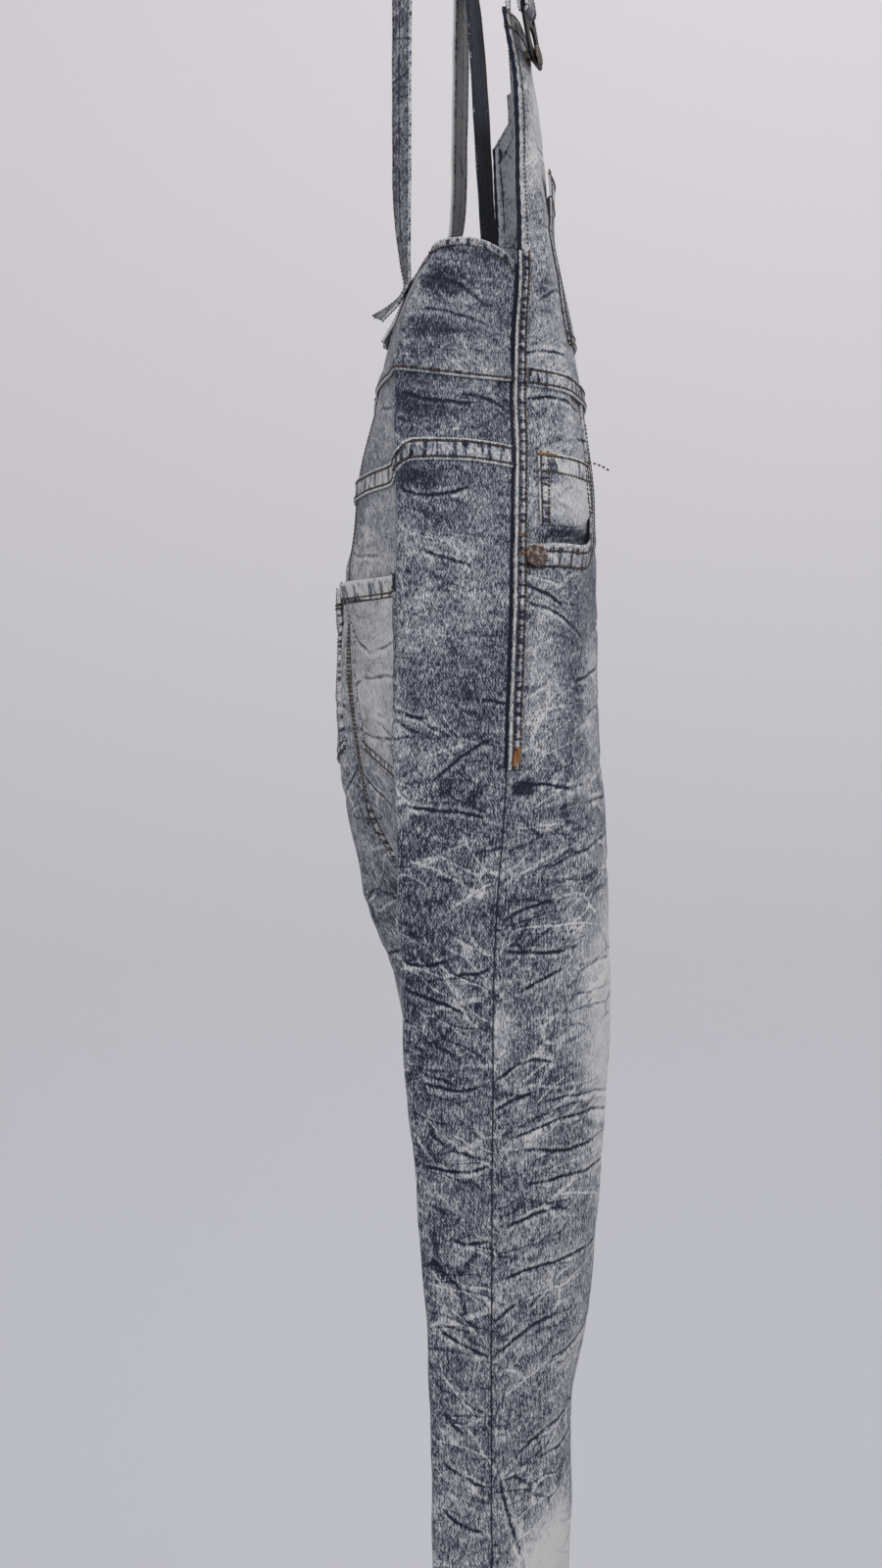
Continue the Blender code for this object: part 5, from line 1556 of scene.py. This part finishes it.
def rows_at(rim: Rim, *insets: float, start: float = 0.0, end: float = 1.0,
            stitch: Stitch = Stitch.BROWN) -> tuple[Row, ...]:
    """Rows along one rim, at these distances from it."""
    return tuple(Row(rim, inset, start, end, stitch) for inset in insets)


def tack(rim: Rim, inset: float, start: float, end: float) -> Row:
    """A bartack."""
    return Row(rim, inset, start, end, Stitch.TACK)


# -------------------- back

class Back:
    """The back's panels, bands and pockets."""

    def cuts(self) -> list[Cut]:
        """The back's pieces of the cut."""
        pieces = [self.bib()]
        for side in Side:
            pieces += [self.yoke(side), self.leg(side), self.band(side), self.pocket(side)]
        return pieces

    def bib(self) -> Cut:
        """The back bib: its lower edge laps over the yoke."""
        def lift(z: Array, station: Array, side: Side) -> Array:
            """Off the form by one layer where it laps."""
            return (LAYER_GAP + CLOTH) * (1 - ease(BIB_LAP, 2 * BIB_LAP, z - BACK_BIB_BOTTOM))

        return Cut("back_bib", Side.RIGHT, SEAM, END, lambda s: back_bib_top(np.abs(s)),
                   level(BACK_BIB_BOTTOM), lift, over_centre=True, shifts=(HALF_GAP, 0.0),
                   worn=(TOP, BOTTOM), shaded=(FIRST,), hems={TOP: 7.0, BOTTOM: 4.0},
                   rows=(Row(TOP, 6.0), Row(BOTTOM, NEAR_EDGE)),
                   rests_on=("strap_right", "strap_left"))

    def yoke(self, side: Side) -> Cut:
        """The yoke between the back bib and the lapped band."""
        return Cut("back_yoke_" + side.word, side, SEAM, END,
                   level(BACK_BIB_BOTTOM + YOKE_TUCK), lambda s: yoke_seam(s) + HALF_GAP,
                   shifts=(HALF_GAP, -HALF_GAP), shaded=(FIRST,), hems={LAST: 6.0},
                   rows=rows_at(LAST, *FELLED), tone=-0.25, rests_on=("back_bib",))

    def leg(self, side: Side) -> Cut:
        """A back leg, felled to the other at the centre of the seat."""
        # The shaded first edge paints the shadow in the gap beside the front's side placket
        return Cut("back_leg_" + side.word, side, SEAM, END,
                   lambda s: yoke_seam(s) - HALF_GAP, level(HEM),
                   shifts=(HALF_GAP, -HALF_GAP), breaks=(LEVEL_FROM, CROTCH),
                   worn=(BOTTOM,), shaded=(FIRST,), hems={BOTTOM: 14.0, LAST: 8.0},
                   rows=(Row(BOTTOM, LEG_HEM), *rows_at(LAST, *FELLED, end=0.30)),
                   tone=-0.08, rests_on=("back_yoke_" + side.word,), solids=LEG_SOLIDS)

    def band(self, side: Side) -> Cut:
        """The lapped band under the yoke."""
        half = BAND_WIDTH / 2
        return Cut("yoke_band_" + side.word, side, SEAM, END, lambda s: yoke_seam(s) + half,
                   lambda s: yoke_seam(s) - half, patch_lift, PATCH,
                   shifts=(HALF_GAP + SEAM_GAP, -HALF_GAP), worn=(TOP, BOTTOM),
                   shaded=(FIRST,), hems={TOP: half, BOTTOM: half},
                   rows=(Row(TOP, NEAR_EDGE), Row(BOTTOM, NEAR_EDGE)), tone=0.1,
                   rests_on=("back_yoke_" + side.word,))

    def pocket(self, side: Side) -> Cut:
        """A patch pocket with a pointed lower edge; its mouth gapes at the inner corner."""
        def lift(z: Array, station: Array, _side: Side) -> Array:
            """Off the leg at the mouth, most at its inner corner."""
            inner_corner = ease(6.6, BACK_POCKET_INNER, station)
            down = 1 - ease(0, BACK_GAPE_DEPTH, BACK_POCKET_TOP - z)
            gape = BACK_GAPE_OUTER + BACK_GAPES[side] * inner_corner
            return LAYER_GAP + PATCH + gape * down

        return Cut("back_pocket_" + side.word, side, BACK_POCKET_OUTER, BACK_POCKET_INNER,
                   level(BACK_POCKET_TOP), lambda s: BACK_POCKET_BOTTOM + back_pocket_point(s),
                   lift, PATCH, worn=(TOP,), worn_width=4.0, thinned=(FIRST, LAST, BOTTOM),
                   hems={TOP: 16.0, LAST: 8.0, BOTTOM: 8.0},
                   rows=(*rows_at(TOP, 12.5, 15.5),
                         *rows_at(LAST, FELLED[1], stitch=Stitch.FINE),
                         *rows_at(BOTTOM, *FELLED, stitch=Stitch.FINE)),
                   tone=0.05, rests_on=(f"back_leg_{side.word}_top",))


# -------------------- straps

# A point of a strap's middle line, and its width's turn from X towards Y in degrees
Stop = namedtuple("Stop", "x y z turn")

# The sewn end on the back bib, from the toe up: height, lift off the form, extra turn
STRAP_LIES = LAYER_GAP + STRAP_THICKNESS / 2 + 0.6
SEWN_END = ((-463, 13, 30), (-452, 6, 15), (-441, STRAP_LIES, 0), (-433, STRAP_LIES, 0))
TOE_LOOSE = {Side.RIGHT: 1.0, Side.LEFT: 0.2}

# The strap round the buckle's bar: how far forward of the bar and above it
BUCKLE_WRAP = ((2.9, 40), (2.8, 20), (2.8, 4), (2.7, -1.5), (1.9, -3.9), (0, -4.7),
               (-1.9, -3.9), (-2.7, -1.5), (-2.6, 4), (-2.0, 10), (-1.3, 17), (-1.3, 30))

LOOP_X, LOOP_FRONT = 78.0, -44.0              # where the straps hang over the hold
LOOP_BACK = {Side.RIGHT: 46.0, Side.LEFT: -8.0}
LOOP_TALL, LOOP_TURN = 1.25, 0.4

BUCKLE_WIDTH, BUCKLE_HEIGHT, BUCKLE_THICKNESS = 40.0, 46.0, 2.0
BUCKLE_CORNER, BUCKLE_BAR, BUCKLE_LIFT = 9.0, 4.5, 6.5
SLOT_WIDTH, SLOT_HEIGHT, SLOT_CORNER = 31.6, 7.0, 2.0
KEY_WIDE, KEY_NARROW, KEY_DROP, KEY_HEIGHT = 9.0, 3.6, 14.0, -2.5
STUD_BELOW_PLATE = 15.5


@dataclass(frozen=True)
class Place:
    """A spot on the cloth, with the directions across, out of and up it."""

    point: Array
    across: Array
    out: Array
    up: Array


def surface_place(station: float, z: float, side: Side, lift: Callable) -> Place:
    """The lifted form's place at a station and height, found as its own tangents say."""
    def at(s: float, height: float) -> Array:
        """The lifted form's point at a station and height."""
        where, what = np.array([height]), np.array([s])
        return Form.point(where, what, side, lift(where, what, side))[0]

    here = at(station, z)
    aside, above = 0.03, 1.0           # steps of a station and of height
    out = unit(np.cross(at(station, z + above) - here, at(station + aside, z) - here))
    out = out if side is Side.RIGHT else -out
    across = unit(np.cross(out, np.array([0.0, 0.0, 1.0])) * -1)
    return Place(here, across, out, np.cross(across, -out))


def stud_place(side: Side) -> Place:
    """Where a bib button sits."""
    return surface_place(BIB_BUTTON_STATION, BIB_BUTTON_HEIGHTS[side], side, flat_lift)


def buckle_place(side: Side) -> Place:
    """Centre of a buckle's plate."""
    stud = stud_place(side)
    centre = stud.point + stud.out * BUCKLE_LIFT + stud.up * STUD_BELOW_PLATE
    return Place(centre, stud.across, stud.out, stud.up)


@dataclass
class Strap:
    """A strap of folded, topstitched denim along its stops."""

    name: str
    stops: list[Stop]
    reverse: float = 0.5              # 1 shows the cloth's dull side
    rests_on: tuple[str, ...] = ()
    seed: int = 5
    ridge: float = 0.35               # how far the lapped fold stands out
    ridge_at: float = 4.0             # from the middle, across
    row_inset: float = 3.2
    tone: float = 0.25                # paler above 0
    fold_line: tuple[float, float] = (1.5, 0.5)   # from the middle, and how dark

    step = 2.2                        # mm from one row of points to the next
    ridge_width = 2.2
    rounding = (0.62, 0.2)            # taken off each face at the two outermost columns
    columns = 15                      # of points between the rounded edges
    pattern_apart = 60.0              # mm between two straps' places in the pattern
    creases_apart = (22, 95)
    row_lift = 0.15

    def line(self) -> tuple[Array, Array, Array]:
        """Middle line, directions across and out of the face, at even small steps."""
        values = np.array(self.stops, float)
        padded = np.vstack([2 * values[0] - values[1], values, 2 * values[-1] - values[-2]])
        line = []
        for a, b, c, d in zip(padded, padded[1:], padded[2:], padded[3:]):
            t = np.linspace(0, 1, 24, endpoint=False)[:, None]
            line.append(0.5 * (2 * b + (c - a) * t + (2 * a - 5 * b + 4 * c - d) * t * t
                               + (3 * b - a - 3 * c + d) * t ** 3))
        line = np.concatenate(line + [values[-1:]])
        run = run_along(line[:, :3])
        even = np.linspace(0, run[-1], int(run[-1] / self.step) + 1)
        line = np.stack([np.interp(even, run, column) for column in line.T], 1)
        turn = np.radians(line[:, 3:])
        tangent = unit(np.gradient(line[:, :3], axis=0))
        across = np.concatenate([np.cos(turn), np.sin(turn), np.zeros_like(turn)], 1)
        across = unit(across - tangent * np.sum(across * tangent, 1, keepdims=True))
        return line[:, :3], across, np.cross(across, tangent)

    def build(self, finish: Material, sewing: Sewing) -> bpy.types.Object:
        """Makes the strap and adds its rows of stitches."""
        centre, across, face = self.line()
        half_width, half = STRAP_WIDTH / 2, STRAP_THICKNESS / 2
        rim_at = np.array([half_width, half_width - 0.6])
        middle = np.linspace(2 - half_width, half_width - 2, self.columns)
        offsets = np.concatenate([-rim_at, middle, rim_at[::-1]])
        rows, cols = len(centre), len(offsets)
        grid_u = np.broadcast_to(offsets, (rows, cols))
        grid_v = np.broadcast_to(np.arange(rows)[:, None] * self.step, (rows, cols))
        rim = np.concatenate([self.rounding, np.zeros(self.columns), self.rounding[::-1]])
        fold = self.ridge * np.exp(-((offsets - self.ridge_at) / self.ridge_width) ** 2)
        wave = 0.125 * np.sin(grid_v / 7.0 + grid_u / 9.0) + 0.1 * np.sin(grid_v / 17.0)
        ground = centre[:, None] + across[:, None] * offsets[:, None]
        outer, inner = (ground + face[:, None] * lift[..., None]
                        for lift in (half - rim + wave, rim - half + wave - fold))
        crease, dyed = self.marks(grid_v, grid_u)
        away = half_width - np.abs(grid_u)
        grids = {"outer": outer, "inner": inner, "u": grid_u + self.pattern_apart * self.seed,
                 "v": grid_v, "crease": crease, "dyed": dyed, "edge": away, "hem": away / 5.0,
                 "upright": np.ones_like(away), "row": np.abs(away - self.row_inset),
                 "seam": np.full_like(away, FAR), "fade": np.full_like(away, self.tone)}
        piece = wall_object(self.name + "_cloth", grids, finish, (self.reverse, self.reverse))
        finish_piece(piece, "denim", self.name)
        declare_sheet(piece, outer)
        edge_row = half_width - self.row_inset
        for offset, signs in ((edge_row, (-1, 1)), (-edge_row, (-1, 1)),
                              (self.ridge_at + NEAR_EDGE, (-1,))):
            for sign in signs:
                lift = sign * (half + self.row_lift)
                sewing.add(Stitch.FINE, centre + across * offset + face * lift, face * sign)
        return piece

    def marks(self, v: Array, u: Array) -> tuple[Array, Array]:
        """Creases across the strap, at uneven steps along it."""
        rng = np.random.default_rng(self.seed)
        nearest, dyed = u - self.fold_line[0], np.full(v.shape, self.fold_line[1])
        place = 12.0
        while place < v.max():
            slant, strength = rng.uniform(-0.9, 0.9), rng.uniform(0.1, 0.5)
            distance = v - place - slant * u
            closer = np.abs(distance) < np.abs(nearest)
            nearest = np.where(closer, distance, nearest)
            dyed = np.where(closer, strength, dyed)
            place += rng.uniform(*self.creases_apart)
        return nearest, dyed


def stops(*rows: tuple[float, float, float, float]) -> list[Stop]:
    """A strap's stops, from x, y, z and turn."""
    return [Stop(*row) for row in rows]


class Straps:
    """Both straps and the slack one's loose end."""

    loop_degrees = (0, 35, 65, 90, 115, 145, 180)      # round the hold, from the back

    def build(self, finish: Material, sewing: Sewing) -> None:
        """Makes the three straps."""
        right = (self.sewn_stops(TOE_LOOSE[Side.RIGHT])
                 + stops((-54, 43, -414, 10), (-62, 45.5, -370, 22), (-70, 46, -300, 24),
                         (-76, 46, -200, 24), (-78, 46, -110, 16))
                 + self.loop_stops(Side.RIGHT, 16) + stops((-78, -44.5, -120, 4))
                 + self.buckle_stops(Side.RIGHT))
        left = ([Stop(-s.x, s.y, s.z, -s.turn) for s in self.sewn_stops(TOE_LOOSE[Side.LEFT])]
                + stops((51, 41.0, -425, -3), (53, 36, -418, -4), (57, 24, -403, -6),
                        (68, 3, -382, -14), (80, -5, -348, -24), (88, -7, -280, -26),
                        (88, -8, -200, -26), (82, -8, -110, -14))
                + self.loop_stops(Side.LEFT, -14)
                + stops((78, -45, -120, -4), (79, -46, -190, -6))
                + self.buckle_stops(Side.LEFT))
        tail = stops((80, -11.6, -72, -8), (80, -11.6, -110, -14), (79, -13, -150, -22),
                     (77, -19, -200, -26), (75, -24, -280, -28), (74, -29, -370, -26),
                     (73, -32, -440, -24))
        # strap_left's tone is painted light against the shadow the tail casts on it; the tail's
        # tone is painted shade
        for strap in (Strap("strap_right", right, 0.5, ("buckle_right",), 5, tone=-0.2),
                      Strap("strap_left", left, 0.15, ("buckle_left",), 7, tone=1.1),
                      Strap("strap_tail_left", tail, 0.6, ("strap_left",), 9, tone=-1.8)):
            strap.build(finish, sewing)

    @staticmethod
    def sewn_stops(loose: float) -> list[Stop]:
        """Lower end of a strap on the back bib; loose is how freely its toe stands off."""
        sewn = []
        for z, lift, twist in SEWN_END:
            height, station = np.array([float(z)]), np.array([STRAP_BACK_STATION])
            run = Form.along(height, station, Side.RIGHT)[0]
            turn = math.degrees(math.atan2(run[1], run[0])) + twist * loose
            lift = STRAP_LIES + (lift - STRAP_LIES) * loose
            sewn.append(Stop(*Form.point(height, station, Side.RIGHT, lift)[0], turn))
        return sewn

    @classmethod
    def loop_stops(cls, side: Side, turn: float) -> list[Stop]:
        """Top of a strap from its back run over the hold to its front run."""
        middle = (LOOP_FRONT + LOOP_BACK[side]) / 2
        half = (LOOP_BACK[side] - LOOP_FRONT) / 2
        found = []
        for angle in map(math.radians, cls.loop_degrees):
            height = -half * LOOP_TALL * (1 - math.sin(angle)) - STRAP_THICKNESS / 2
            kept = LOOP_TURN * max(math.cos(angle), 0.0)
            found.append(Stop(side.value * LOOP_X, middle + half * math.cos(angle), height,
                              turn * kept))
        return found

    @staticmethod
    def buckle_stops(side: Side) -> list[Stop]:
        """Front end of a strap: down to the buckle's bar, under it and up behind itself."""
        plate = buckle_place(side)
        bar = plate.point + plate.up * (BUCKLE_HEIGHT - BUCKLE_BAR) / 2
        turn = math.degrees(math.atan2(plate.across[1], plate.across[0]))
        return [Stop(*(bar + plate.out * forward + plate.up * rise), turn)
                for forward, rise in BUCKLE_WRAP]


# -------------------- buckles and buttons

def rounded_outline(width: float, height: float, corner: float, steps: int = 8,
                    rise: float = 0.0) -> list[tuple[float, float]]:
    """Points of a rounded rectangle, its centre raised by rise."""
    points = []
    for quarter in range(4):
        cx = (width / 2 - corner) * (1 if quarter in (0, 3) else -1)
        cy = (height / 2 - corner) * (1 if quarter in (0, 1) else -1)
        for k in range(steps + 1):
            angle = math.radians(90 * (quarter + k / steps))
            points.append((cx + corner * math.cos(angle),
                           cy + corner * math.sin(angle) + rise))
    return points


def keyhole_outline(steps: int = 30, low_steps: int = 12) -> list[tuple[float, float]]:
    """Points of a keyhole: a wide round hole with a narrow round-ended slot below it."""
    start = math.asin(KEY_NARROW / KEY_WIDE)
    points = []
    for k in range(steps + 1):
        angle = -math.pi / 2 + start + (2 * math.pi - 2 * start) * k / steps
        points.append((KEY_WIDE * math.cos(angle), KEY_WIDE * math.sin(angle) + KEY_HEIGHT))
    for k in range(low_steps + 1):
        angle = math.pi + math.pi * k / low_steps
        points.append((KEY_NARROW * math.cos(angle),
                       -KEY_DROP + KEY_NARROW * math.sin(angle) + KEY_HEIGHT))
    return points


def stand(mesh: bpy.types.Mesh, place: Place) -> None:
    """Moves a mesh, drawn in metres on X and Y, to a place on the cloth."""
    at = np.empty(len(mesh.vertices) * 3)
    mesh.vertices.foreach_get("co", at)
    at = at.reshape(-1, 3)
    moved = (place.point * MM + at[:, :1] * place.across + at[:, 1:2] * place.up
             + at[:, 2:] * place.out)
    mesh.vertices.foreach_set("co", moved.ravel())


@dataclass
class Hardware:
    """Buckles, their studs and the hip buttons."""

    gunmetal: Material
    copper: Material
    bevel: float = 0.55
    sides: int = 48

    def build(self) -> None:
        """Makes the metal pieces of both sides."""
        for side in Side:
            self.buckle(side)
            stud = stud_place(side)
            self.turned("bib_button_" + side.word, STUD_PROFILE, stud, BIB_BUTTON_SEAT)
            z = np.array([HIP_BUTTON_HEIGHT])
            station = float(placket_station(z, HIP_BUTTON_FROM_SEAM)[0])
            hip = surface_place(station, HIP_BUTTON_HEIGHT, side, Front.pocket_gape)
            self.turned("hip_button_" + side.word, HIP_PROFILE, hip, HIP_BUTTON_SEAT)

    def buckle(self, side: Side) -> None:
        """A dungaree buckle: a bevelled plate with a slot and a keyhole."""
        slot_rise = BUCKLE_HEIGHT / 2 - BUCKLE_BAR - SLOT_HEIGHT / 2
        outlines = (rounded_outline(BUCKLE_WIDTH, BUCKLE_HEIGHT, BUCKLE_CORNER),
                    rounded_outline(SLOT_WIDTH, SLOT_HEIGHT, SLOT_CORNER, 4, slot_rise),
                    keyhole_outline())
        name = "buckle_" + side.word
        flat = bpy.data.curves.new(name, "CURVE")
        flat.dimensions = "2D"
        flat.fill_mode = "BOTH"
        flat.extrude = (BUCKLE_THICKNESS / 2 - self.bevel) * MM
        flat.bevel_depth = self.bevel * MM
        flat.bevel_resolution = 3
        flat.offset = -self.bevel * MM
        for outline in outlines:
            spline = flat.splines.new("POLY")
            spline.points.add(len(outline) - 1)
            spline.use_cyclic_u = True
            for point, (x, y) in zip(spline.points, outline):
                point.co = (x * MM, y * MM, 0, 1)
        mesh = plain_mesh(placed(name, flat), name + "_plate")
        stand(mesh, buckle_place(side))
        smoothed(mesh, 35, self.gunmetal)
        finish_piece(placed(name + "_plate", mesh), "buckle_metal", name)

    def turned(self, name: str, profile: Sequence[tuple[float, float]], place: Place,
               seat: float) -> None:
        """A button turned from (radius, height) pairs about the place's outward line."""
        angles = np.arange(self.sides) * 2 * math.pi / self.sides
        spokes = (np.cos(angles)[:, None] * place.across + np.sin(angles)[:, None] * place.up)
        base = place.point + place.out * seat
        rings = [base + place.out * height + spokes * radius for radius, height in profile]
        ends = [[base + place.out * profile[end][1]] for end in (0, -1)]
        points = np.concatenate(rings + ends)
        count, last = self.sides, (len(profile) - 1) * self.sides
        bottom, top = len(points) - 2, len(points) - 1
        faces = []
        for k in range(count):
            beside = (k + 1) % count
            faces += [(ring + k, ring + beside, ring + beside + count, ring + k + count)
                      for ring in range(0, last, count)]
            faces += [(beside, k, bottom), (last + k, last + beside, top)]
        mesh = bpy.data.meshes.new(name + "_turned")
        mesh.from_pydata((points * MM).tolist(), [], faces)
        smoothed(mesh, 40, self.copper)
        finish_piece(placed(name + "_turned", mesh), "button_metal", name)


# Buttons as (radius, height above the base), from the base out to the face
STUD_PROFILE = ((6.0, 0.0), (6.0, 1.0), (2.6, 1.4), (2.6, 7.6), (7.6, 8.1), (8.0, 8.5),
                (8.0, 9.2), (7.6, 9.8), (6.9, 10.1), (6.3, 9.9), (5.8, 9.6), (4.0, 10.2),
                (1.5, 10.4))
HIP_PROFILE = ((3.0, 0.0), (3.0, 2.2), (8.1, 2.5), (8.5, 2.9), (8.5, 3.5), (8.2, 4.0),
               (7.6, 4.3), (6.9, 4.3), (6.4, 3.9), (6.1, 3.5), (5.6, 3.6), (3.6, 4.2),
               (1.2, 4.4))


# -------------------- studio

@dataclass
class Studio:
    """Pale paper backdrop, soft lights and the camera."""

    eye: tuple[float, float, float] = (-1.9525, 0.1152, -0.810)
    turn: float = 3.0                 # degrees from +X towards -Y
    lens: float = 57.9
    middle: tuple[float, float, float] = (0.0, 0.0, -0.85)     # where the lights point
    floor: float = -1.95
    wall: float = 1.5                 # how far the paper hangs behind the garment
    bend: float = 0.9
    top: float = 2.2
    reach: float = 4.0                # of the paper, to the sides and towards the camera
    steps: int = 12                   # in its curve
    air: str = "F6F5F6"               # light from all round
    air_strength: float = 0.88

    def build(self) -> None:
        """Sets up the camera, the lights and the backdrop."""
        self.camera()
        self.backdrop()
        world = bpy.data.worlds.new("studio")
        world.use_nodes = True
        light = world.node_tree.nodes["Background"]
        light.inputs["Color"].default_value = linear(self.air)
        light.inputs["Strength"].default_value = self.air_strength
        bpy.context.scene.world = world
        for lamp in (("front_key", (-1.3, -2.1, 0.6), 1.6, 27.0),
                     ("camera_fill", (-2.6, 1.2, 0.3), 2.0, 27.0),
                     ("paper_light", (0.6, -0.6, 1.3), 1.4, 10.0)):
            self.softbox(*lamp)
        bpy.context.scene.view_settings.view_transform = "Standard"

    def camera(self) -> None:
        """Stands the camera level, at the garment's right."""
        data = bpy.data.cameras.new("camera")
        data.lens = self.lens
        data.sensor_width = 36.0
        camera = placed("camera", data)
        angle = math.radians(self.turn)
        camera.location = self.eye
        look = Vector((math.cos(angle), -math.sin(angle), 0.0))
        camera.rotation_euler = look.to_track_quat("-Z", "Y").to_euler()
        bpy.context.scene.camera = camera

    def softbox(self, name: str, place: tuple[float, float, float], size: float,
                power: float) -> None:
        """A square area light turned to the garment's middle."""
        data = bpy.data.lights.new(name, "AREA")
        data.size = size
        data.energy = power
        light = placed(name, data)
        light.location = place
        aim = Vector(self.middle) - Vector(place)
        light.rotation_euler = aim.to_track_quat("-Z", "Y").to_euler()

    def backdrop(self) -> None:
        """A sweep of paper: floor all round, curved up into a wall behind."""
        start = self.wall - self.bend
        profile = [(-self.reach, self.floor), (start, self.floor)]
        for k in range(1, self.steps + 1):
            angle = math.radians(90 * k / self.steps)
            profile.append((start + self.bend * math.sin(angle),
                            self.floor + self.bend * (1 - math.cos(angle))))
        profile.append((self.wall, self.top))
        points = [(x, y, z) for y in (-self.reach, self.reach) for x, z in profile]
        count = len(profile)
        faces = [(k, k + 1, k + 1 + count, k + count) for k in range(count - 1)]
        mesh = bpy.data.meshes.new("paper_sweep")
        mesh.from_pydata(points, [], faces)
        mesh.shade_smooth()
        mesh.materials.append(StudioPaper().material())
        sweep = placed("paper_sweep", mesh)


def main() -> None:
    """Dresses the frame, piece by piece."""
    logging.basicConfig(level=logging.INFO, format="%(message)s")
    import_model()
    denim = AcidDenim().material()
    threads = {Stitch.BROWN: Thread("brown_thread", "4C3C2D", "2D241E").material(),
               Stitch.FINE: Thread("tobacco_thread", "594A38", "382F28").material(),
               Stitch.TACK: Thread("orange_thread", "966536", "654524").material()}
    sewing = Sewing(threads)
    for cut in Front().cuts() + Back().cuts():
        cut.build(denim)
        sewing.add_cut(cut)
    sewing.add(Stitch.BROWN, *Front.loose_thread())
    Straps().build(denim, sewing)
    sewing.build()
    Hardware(PlatedMetal("gunmetal_plating", "0B0B0C", "242222", 0.42).material(),
             PlatedMetal("antique_copper", "3F3735", "84766F", 0.45).material()).build()
    Studio().build()


if __name__ == "__main__":
    main()
